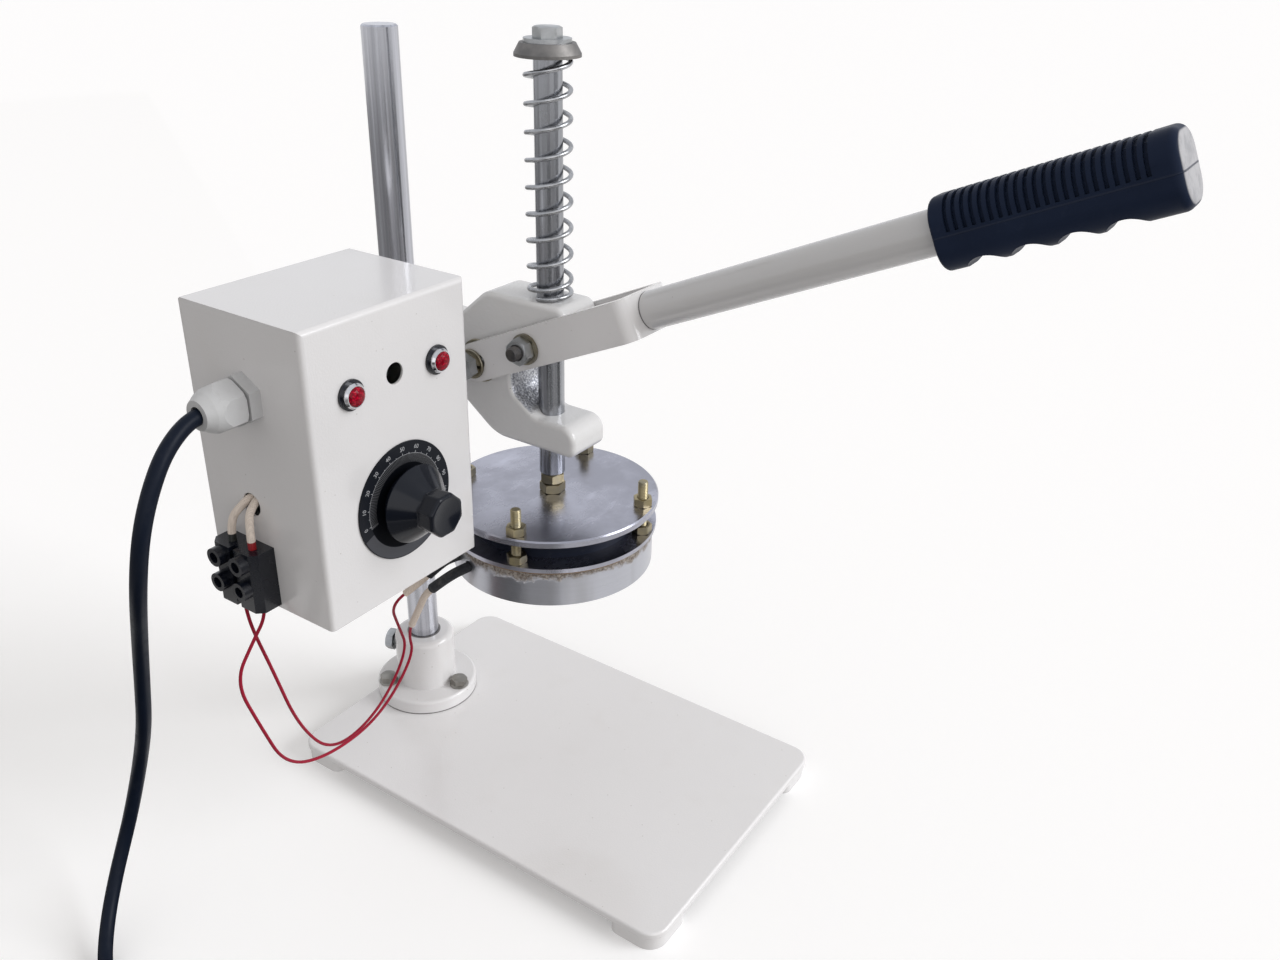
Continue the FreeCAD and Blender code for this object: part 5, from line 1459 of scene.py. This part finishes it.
@dataclass
class Ram:
    """Fasteners on the ram: its top bolt, the fork's pin and the heater's stud."""

    top: float = 439.5
    top_deep: float = 21.5
    top_twist: float = 14.0
    pin_z: float = 285.5
    pin_face: float = 23.4
    pin_spare: float = 11.0
    pin_twists: Pair = (5.0, 16.0)
    carrier_top: float = 192.0
    ram_bottom: float = 204.0
    jam_high: float = 5.8
    jam_twists: Pair = (9.0, 38.0)
    stud_foot: float = 187.5
    stud_long: float = 30.5

    def build(self, shop: Fasteners) -> None:
        """Top bolt, pin with its nut, and the two nuts under the ram.

        Args:
            shop: makes the standard fasteners.
        """
        bolt, pin, nut, jam, stud = [Draft() for _ in range(5)]
        shop.head(bolt, M8, M8.head, (0, 0, self.top), UP, self.top_twist)
        shop.shank(bolt, M8, self.top_deep, frame_on((0, 0, self.top), UP))
        bolt.mount("ram_top_hex_bolt", FINISH.zinc, Slot.ZINC, "ram", "top_bolt")
        left, right = (-self.pin_face, 0, self.pin_z), (self.pin_face, 0, self.pin_z)
        shop.head(pin, M8, M8.head, right, RIGHT, self.pin_twists[0])
        shop.screw(pin, M8, 2 * self.pin_face + self.pin_spare, right, LEFT)
        pin.mount("fork_pin_bolt", FINISH.dark_steel, Slot.ZINC, "ram", "ram_pin")
        shop.nut(nut, M8, M8.nut, left, LEFT, self.pin_twists[1])
        nut.mount("fork_pin_nut", FINISH.zinc, Slot.ZINC, "ram", "ram_pin_nut")
        for z, twist in zip((self.carrier_top, self.ram_bottom - self.jam_high), self.jam_twists):
            shop.nut(jam, M8, self.jam_high, (0, 0, z), UP, twist)
        shop.screw(stud, M8, self.stud_long, (0, 0, self.stud_foot), UP)
        jam.mount("stud_jam_nuts", FINISH.yellow, Slot.YELLOW_ZINC, "ram", "jam_nuts")
        stud.mount("threaded_heater_stud", FINISH.yellow, Slot.YELLOW_ZINC, "ram", "heater_stud")


@dataclass
class Heater:
    """The four hanging studs and the sleeved leads of the heater."""

    circle: float = 55.0
    first_turn: float = 17.0
    count: int = 4
    stud_foot: float = 161.5
    stud_top: float = 207.0
    nut_zs: Pair = (192.0, 174.5)
    nut_twists: Pair = (13.0, 29.0)
    black_radius: float = 3.0
    cream_radius: float = 2.1
    black_a: tuple[Point, ...] = (
        (-50.9, 14.6, 161.5), (-60.5, 17.3, 161), (-66, 24, 156), (-67.8, 35, 145.1))
    cream_a: tuple[Point, ...] = (
        (-67.81, 35.07, 145.03), (-68.6, 39.9, 140.2), (-66.9, 47.5, 126.5), (-62.2, 60, 107))
    black_b: tuple[Point, ...] = (
        (-45.9, 26.5, 161.5), (-54.5, 31.5, 161), (-60, 36, 157), (-63.6, 41.5, 150))
    cream_b: tuple[Point, ...] = ((-63.64, 41.56, 149.93), (-66.5, 46, 144.5), (-71.5, 53.5, 136.5))

    def build(self, shop: Fasteners) -> None:
        """Studs, nuts and sleeves.

        Args:
            shop: makes the standard fasteners.
        """
        studs, nuts, black, cream = [Draft() for _ in range(4)]
        for i in range(self.count):
            x, y, _ = polar(self.circle, math.radians(self.first_turn + 360.0 / self.count * i))
            shop.screw(studs, M6, self.stud_top - self.stud_foot, (x, y, self.stud_foot), UP)
            for k, z in enumerate(self.nut_zs):
                shop.nut(nuts, M6, M6.nut, (x, y, z), UP, self.nut_twists[0] * i + self.nut_twists[1] * k)
        studs.mount("threaded_carrier_studs", FINISH.yellow, Slot.YELLOW_ZINC, "ram", "carrier_studs")
        nuts.mount("carrier_hex_nuts", FINISH.yellow, Slot.YELLOW_ZINC, "ram", "carrier_nuts")
        for route in (self.black_a, self.black_b):
            black.tube(smooth_line(route), self.black_radius * MM, 18)
        for route in (self.cream_a, self.cream_b):
            cream.tube(smooth_line(route), self.cream_radius * MM, 16)
        black.mount("heater_black_sleeves", FINISH.dark_sleeve, Slot.BLACK_CABLE, "ram", "black_sleeves")
        cream.mount("heater_cream_sleeves", FINISH.cream, Slot.CREAM_SLEEVE, "ram", "cream_sleeves")


@dataclass
class ControlBox:
    """Lamps, dial and knob of the control box.

    The knob's profile is in pairs of radius and height, a lens's in threes with its turn in sides.
    """

    face_x: float = -115.9
    face_y: float = 1.0
    lamp_half: float = 27.7
    lamp_z: float = 299.7
    lens_proud: float = 1.2
    lens_sides: int = 16
    lens_rings: tuple[Point, ...] = (
        (4.8, 0.9, 0.0), (4.8, 3.0, 0.0), (4.0, 4.0, 0.5), (2.6, 4.7, 0.0), (1.0, 5.0, 0.5))
    dial_z: float = 234.7
    dial_front: float = 0.0
    figure_radius: float = 27.4
    figure_size: float = 3.1
    figure_lift: float = 0.02
    first_figure: float = 191.0
    figure_step: float = 20.2
    figures: int = 11
    figure_worth: int = 10
    ticks: int = 2
    hatches: int = 10
    scale_radius: float = 24.2
    scale_over: float = 4.0
    shadow_field_over: float = 4.5
    foot_over: float = 12.0
    print_gap: float = 0.1
    # The black field and the black ring under the knob's skirt are painted shadow; the other marks are print.
    foot_high: float = 0.03
    grey_high: float = 0.04
    shadow_field_high: float = 0.05
    line_high: float = 0.06
    hatch_high: float = 0.07
    shadow_ring_high: float = 0.08
    line_half: float = 0.05
    tick_half: float = 0.13
    tick_longs: Pair = (1.1, 0.6)
    hatch_half: float = 0.17
    hatch_reach: Pair = (4.6, 0.3)
    plate_radius: float = 30.1
    hub_radius: float = 14.0
    knob_back: float = -0.8
    knob_hub: Pair = (15.0, 5.0)
    skirt_radius: float = 20.0
    skirt_inset: float = 0.4
    skirt_edges: Pair = (0.5, 0.4)
    cone: tuple[Pair, Pair] = ((19.7, 6.4), (9.6, 17.4))
    knob_flats: float = 20.5
    knob_corner: float = 1.06
    knob_high: float = 26.7
    knob_rim: tuple[Pair, ...] = ((-1.9, 1.04), (-0.8, 1.02), (-0.2, 0.97), (0.0, 0.9))
    knob_dish: float = 1.1

    def lenses(self) -> None:
        """Cut lenses in their bezels."""
        draft = Draft(crease=8.0)
        for x in (self.face_x - self.lamp_half, self.face_x + self.lamp_half):
            place = frame_on((x, self.face_y - self.lens_proud, self.lamp_z), FRONT)
            draft.loft([[place @ polar(r, math.tau * (k + shift) / self.lens_sides, z)
                         for k in range(self.lens_sides)] for r, z, shift in self.lens_rings])
        draft.mount("cut_lamp_lenses", FINISH.lens, Slot.RED_LENS, "head", "lamp_lenses")

    def dial_frame(self, figures: float) -> Matrix:
        """The dial's frame, with its Y towards the place that many figures after the first."""
        turn = self.first_figure - self.figure_step * figures - 90.0
        return frame_on((self.face_x, self.dial_front, self.dial_z), FRONT, turn)

    def dial(self) -> None:
        """Figures, ticks, the hatched grey scale, painted shadow as a black field and a black ring under the
        knob's skirt, and the bare foot.
        """
        white, hatch, black, slate = [Draft() for _ in range(4)]
        flat = frame_on((self.face_x, self.dial_front, self.dial_z), FRONT)
        rim, hub, well = self.scale_radius, self.hub_radius, self.skirt_radius - self.skirt_inset
        first, last = self.first_figure, self.first_figure - self.figure_step * (self.figures - 1)
        scale = (last - self.scale_over, first + self.scale_over)
        inner, outer = (well, rim - self.print_gap), (rim + self.print_gap, self.plate_radius)
        shadow_field_ends = (first + self.shadow_field_over, last + 360.0 - self.shadow_field_over)
        foot_ends = (first + self.foot_over, last + 360.0 - self.foot_over)
        self.arc(hatch, inner, scale, self.grey_high, flat)
        # Painted shadow: a black field round the knob where the scale leaves off, for the shade of the
        # recess.
        self.arc(black, inner, shadow_field_ends, self.shadow_field_high, flat)
        # Painted shadow: a black ring under the knob's skirt, for the shade that the skirt casts on the
        # plate.
        black.turned([(hub, 0.0), (well, 0.0), (well, self.shadow_ring_high), (hub, self.shadow_ring_high)], flat, 96, True)
        self.arc(slate, outer, foot_ends, self.foot_high, flat)
        self.arc(white, (rim - self.line_half, rim + self.line_half), scale, self.line_high, flat)
        for i in range(self.ticks * (self.figures - 1) + 1):
            place = self.dial_frame(i / self.ticks)
            if i % self.ticks == 0:
                self.figure(white, str(self.figure_worth * i // self.ticks), place)
            end = rim + self.tick_longs[i % self.ticks]
            white.block((-self.tick_half, rim, 0.0), (self.tick_half, end, self.line_high), place)
        low = (-self.hatch_half, rim - self.hatch_reach[0], self.grey_high)
        high = (self.hatch_half, rim - self.hatch_reach[1], self.hatch_high)
        for i in range(self.hatches * (self.figures - 1) + 1):
            black.block(low, high, self.dial_frame(i / self.hatches))
        white.mount("dial_figures", FINISH.white_ink, Slot.NYLON, "head")
        hatch.mount("dial_grey_scale", FINISH.grey_ink, Slot.NYLON, "head")
        # One piece for the printed hatch lines and the painted shadow of the field and the ring.
        black.mount("dial_hatching_and_painted_shadow", FINISH.print_and_painted_shadow, Slot.BLACK_PLASTIC, "head")
        slate.mount("dial_slate_foot", FINISH.slate_ink, Slot.BLACK_PLASTIC, "head")

    @staticmethod
    def arc(draft: Draft, radii: Pair, turns: Pair, high: float, place: Matrix) -> None:
        """A flat arc of a ring.

        Args:
            draft: where it is added.
            radii: its inner and outer radius.
            turns: its first and last angle, in degrees.
            high: how far it stands off the plate.
            place: the plate's frame.
        """
        steps, section = 96, ((radii[0], 0.0), (radii[1], 0.0), (radii[1], high), (radii[0], high))
        angles = [math.radians(turns[0] + (turns[1] - turns[0]) * i / steps) for i in range(steps + 1)]
        draft.loft([[place @ polar(r, angle, z) for r, z in section] for angle in angles])

    def figure(self, draft: Draft, text: str, place: Matrix) -> None:
        """Adds one number.

        Args:
            draft: where it is added.
            text: the number.
            place: the dial's frame, turned to the number's place.
        """
        curve = bpy.data.curves.new("figure", "FONT")
        curve.body, curve.size, curve.resolution_u = text, self.figure_size, 3
        curve.align_x, curve.align_y = "CENTER", "CENTER"
        points, faces = meshed(curve)
        first = len(draft.points)
        middle = place @ Matrix.Translation((0, self.figure_radius, self.figure_lift))
        draft.points.extend(middle @ point for point in points)
        draft.faces.extend(tuple(first + corner for corner in face) for face in faces)

    def knob(self) -> None:
        """The skirted knob: a cone that an eight-sided barrel grows out of."""
        sides, steps, dish_steps, eighth = 96, 30, 9, math.tau / 8
        place = frame_on((self.face_x, self.knob_back, self.dial_z), FRONT)

        def ring(z: float, round_to: float, barrel: float) -> list[Vector]:
            """One ring of points.

            Args:
                z: its height.
                round_to: the radius of a circle.
                barrel: half the width of an eight-sided bar.

            Returns:
                The points of the wider of the two, all round.
            """
            made = []
            for a in [math.tau * k / sides for k in range(sides)]:
                flat = barrel / math.cos((a + eighth / 2) % eighth - eighth / 2)
                made.append(place @ polar(max(round_to, min(flat, barrel * self.knob_corner)), a, z))
            return made

        (hub, gap), (under, over) = self.knob_hub, self.skirt_edges
        (wide, low), (slim, top) = self.cone
        rim, half = self.skirt_radius, self.knob_flats / 2
        rings = [ring(z, r, 0.0) for r, z in (
            (hub, 0.0), (hub, gap), (rim - under, gap), (rim, gap + under), (rim, low - over), (wide, low))]
        for i in range(1, steps + 1):
            rings.append(ring(low + (top - low) * i / steps, wide + (slim - wide) * i / steps, half))
        for drop, share in self.knob_rim:
            rings.append(ring(self.knob_high + drop, 0.0, half * share))
        crown = half * self.knob_rim[-1][1]
        for i in range(1, dish_steps):
            r = crown * math.cos(math.pi / 2 * i / dish_steps)
            rings.append(ring(self.knob_high - self.knob_dish * (1.0 - (r / crown) ** 2), r, 0.0))
        draft = Draft()
        draft.loft(rings)
        draft.mount("skirted_dial_knob", FINISH.black, Slot.BLACK_PLASTIC, "knob", "knob")

    def build(self) -> None:
        """Everything on the box."""
        self.lenses()
        self.dial()
        self.knob()


@dataclass
class Leads:
    """The mains lead with its coil, the red heater wires and the leads at the terminal block."""

    diameter: float = 7.5
    drop: tuple[Point, ...] = (
        (-184, 42.1, 296.1), (-194.3, 42.1, 296.1), (-204.5, 40.7, 293.3), (-216, 38, 286.4),
        (-225.7, 35.6, 275), (-232.4, 35.4, 261.2), (-236, 37.4, 245.1), (-235.9, 44.6, 222.6),
        (-227.4, 65.9, 187.1), (-223.6, 79.2, 152.8), (-222.8, 86.8, 124.5), (-219, 106.3, 87.2),
        (-224.8, 116.2, 51.3), (-232.7, 117.3, 32.8), (-241.9, 114.9, 18.2), (-254.4, 107.3, 4),
        (-267.2, 94.1, -5.5), (-274, 82, -9.25), (-281, 68, -9.25), (-287, 54, -8.9),
        (-292.8, 39.5, -7.15), (-298, 25, -7.15))
    coil_outer: float = 49.5
    coil_pitch: float = 9.0
    coil_layer: float = 9.0
    coil_loops: float = 2.0
    coil_points: int = 16
    tail: tuple[Point, ...] = ((14, 0, 0), (34, 1.2, 1.4), (55, 3.8, 3.8), (69, 6.2, 5.15), (79, 8.2, 5.15))
    tie_turn: float = 0.75
    tie_inset: float = 1.25
    tie_half: float = 9.15
    tie_thick: float = 1.2
    tie_wide: float = 9.0
    tie_edge: float = 0.3
    tie_power: float = 6.0
    red_radius: float = 0.9
    red_a: tuple[Point, ...] = (
        (-175, 42.6, 186.95), (-175, 42.6, 181), (-182.2, 44, 171), (-195.2, 46, 152), (-184.9, 47, 118.4),
        (-171.4, 49, 79.9), (-137.4, 55, 60.6), (-92.8, 61, 56.6), (-54.3, 68.5, 76.5), (-59.8, 66.4, 97.1),
        (-62.18, 60.05, 106.92))
    red_b: tuple[Point, ...] = (
        (-175.5, 56.5, 186.95), (-175.5, 56.5, 180), (-174.9, 54, 167), (-166.6, 56, 140), (-152.5, 59, 89),
        (-126.5, 66, 49.7), (-83.7, 73, 48.1), (-51, 77, 75), (-63, 71, 102.3), (-76.7, 61.3, 128.2),
        (-71.54, 53.56, 136.43))
    lead_radius: float = 2.0
    lead_a: tuple[Point, ...] = (
        (-163, 47.5, 243), (-172, 46.5, 239.5), (-175.3, 44.2, 230), (-175.3, 44.2, 219.45))
    lead_b: tuple[Point, ...] = (
        (-163, 51.5, 243), (-171.5, 53, 239), (-175.3, 58.5, 230), (-175.3, 58.5, 219.45))

    def coil(self) -> tuple[Callable[[float], Vector], Vector, float]:
        """The put-away loops: inward, up in half a turn, and outward on top.

        Returns:
            The curve over its turns, its centre and its first angle.
        """
        last, before = Vector(self.drop[-1]), Vector(self.drop[-2])
        lean = math.atan2(self.coil_pitch, math.tau * self.coil_outer)
        along = (last - before).normalized()
        turned = Matrix.Rotation(lean, 3, "Z") @ along
        side = Vector((turned.y, -turned.x, 0.0))
        centre = last + along * self.diameter + side * self.coil_outer
        start = math.atan2(-side.y, -side.x)

        def curve(t: float) -> Vector:
            """The coil's curve.

            Args:
                t: turns from the coil's start.

            Returns:
                The point there, in millimetres.
            """
            inward = min(t, self.coil_loops)
            climb = min(max(t - self.coil_loops, 0.0), 0.5) * 2
            outward = max(t - self.coil_loops - 0.5, 0.0)
            radius = self.coil_outer + self.coil_pitch * (outward - inward)
            return centre + polar(radius, start - math.tau * t, self.coil_layer * climb)

        return curve, centre, start

    def mains(self) -> None:
        """The lead from the gland to its plug."""
        curve, centre, start = self.coil()
        turns, step = 2 * self.coil_loops + 0.5, 1e-4
        count = int(turns * self.coil_points)
        heading = (curve(turns + step) - curve(turns - step)).normalized()
        aside = Vector((heading.y, -heading.x, 0.0))
        end = curve(turns) + heading * self.diameter
        route = [Vector(p) for p in self.drop]
        route += [curve(turns * i / count) for i in range(count + 1)] + [end]
        route += [end + heading * a + aside * b + Vector((0.0, 0.0, c)) for a, b, c in self.tail]
        line = smooth_line(route)
        draft = Draft()
        draft.tube(line, self.diameter / 2 * MM, 18)
        lead = draft.piece("mains_lead", FINISH.cable, Slot.BLACK_CABLE)
        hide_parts("cord_drop", "cord_coil")
        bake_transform(lead)
        tie = self.tie(centre, start)
        tuple(line[0])
        round(length(line), 2)
        [tuple(p) for p in line]

    def tie(self, centre: Vector, start: float) -> bpy.types.Object:
        """The band round the coil's turns.

        Args:
            centre: the coil's centre.
            start: the coil's first angle.

        Returns:
            The piece, on the frame.
        """
        turn = start - math.tau * self.tie_turn
        middle = centre + polar(self.coil_outer - self.coil_pitch * self.tie_inset, turn, self.coil_layer / 2)
        place = frame_on(middle, UP, math.degrees(turn))
        inner, outer = self.tie_half, self.tie_half + self.tie_thick
        edge, flat = self.tie_wide / 2, self.tie_wide / 2 - self.tie_edge
        steps, rings = 64, []
        for i in range(steps):
            x, z = math.cos(math.tau * i / steps), math.sin(math.tau * i / steps)
            swell = (abs(x) ** self.tie_power + abs(z) ** self.tie_power) ** (-1 / self.tie_power)
            rings.append([place @ Vector((x * r * swell, y, z * r * swell))
                          for r, y in ((inner, -edge), (outer, -flat), (outer, flat), (inner, edge))])
        draft = Draft()
        draft.loft(rings, True)
        return draft.mount("lead_tie", FINISH.black, Slot.BLACK_PLASTIC, "frame", "cord_tie")

    def red_wires(self) -> None:
        """The two thin wires from the block to the heater."""
        for name, node, route, ends in (("red_heater_wire_a", "red_wire_a", self.red_a, (-0.176, -0.066)),
                                        ("red_heater_wire_b", "red_wire_b", self.red_b, (-0.172, -0.082))):
            line = smooth_line(route)
            draft = Draft()
            draft.tube(line, self.red_radius * MM, 10)
            wire = draft.piece(name, FINISH.red_wire, Slot.RED_WIRE)
            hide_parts(node)
            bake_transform(wire)
            tuple(line[0])
            round(length(line), 3)
            [tuple(p) for p in line]

    def block_leads(self) -> None:
        """The short leads from the box to the block."""
        draft = Draft()
        for route in (self.lead_a, self.lead_b):
            draft.tube(smooth_line(route), self.lead_radius * MM)
        draft.mount("block_sleeved_leads", FINISH.cuffed, Slot.CREAM_SLEEVE, "head", "block_leads")

    def build(self) -> None:
        """All cords."""
        self.mains()
        self.red_wires()
        self.block_leads()


def dress_cad() -> None:
    """Gives every CAD node the finish of its slot, or its own."""
    slots = {row["node"]: row["material_slot"] for row in frame["record"]["subparts"]}
    for name, node in frame["nodes"].items():
        finish = NODE_FINISH.get(name) or SLOT_FINISH[slots[name]]
        node.data.materials.clear()
        node.data.materials.append(finish.material())
        LOG.info("node %s: %s", name, finish.name)


def main() -> None:
    """Builds the scene in order."""
    logging.basicConfig(level=logging.INFO, format="%(name)s: %(message)s")
    Studio().build()
    dress_cad()
    Leads().build()
    shop = Fasteners()
    Stand().build(shop)
    Head().build(shop)
    ReturnSpring().build()
    Ram().build(shop)
    Heater().build(shop)
    ControlBox().build()


if __name__ == "__main__":
    main()
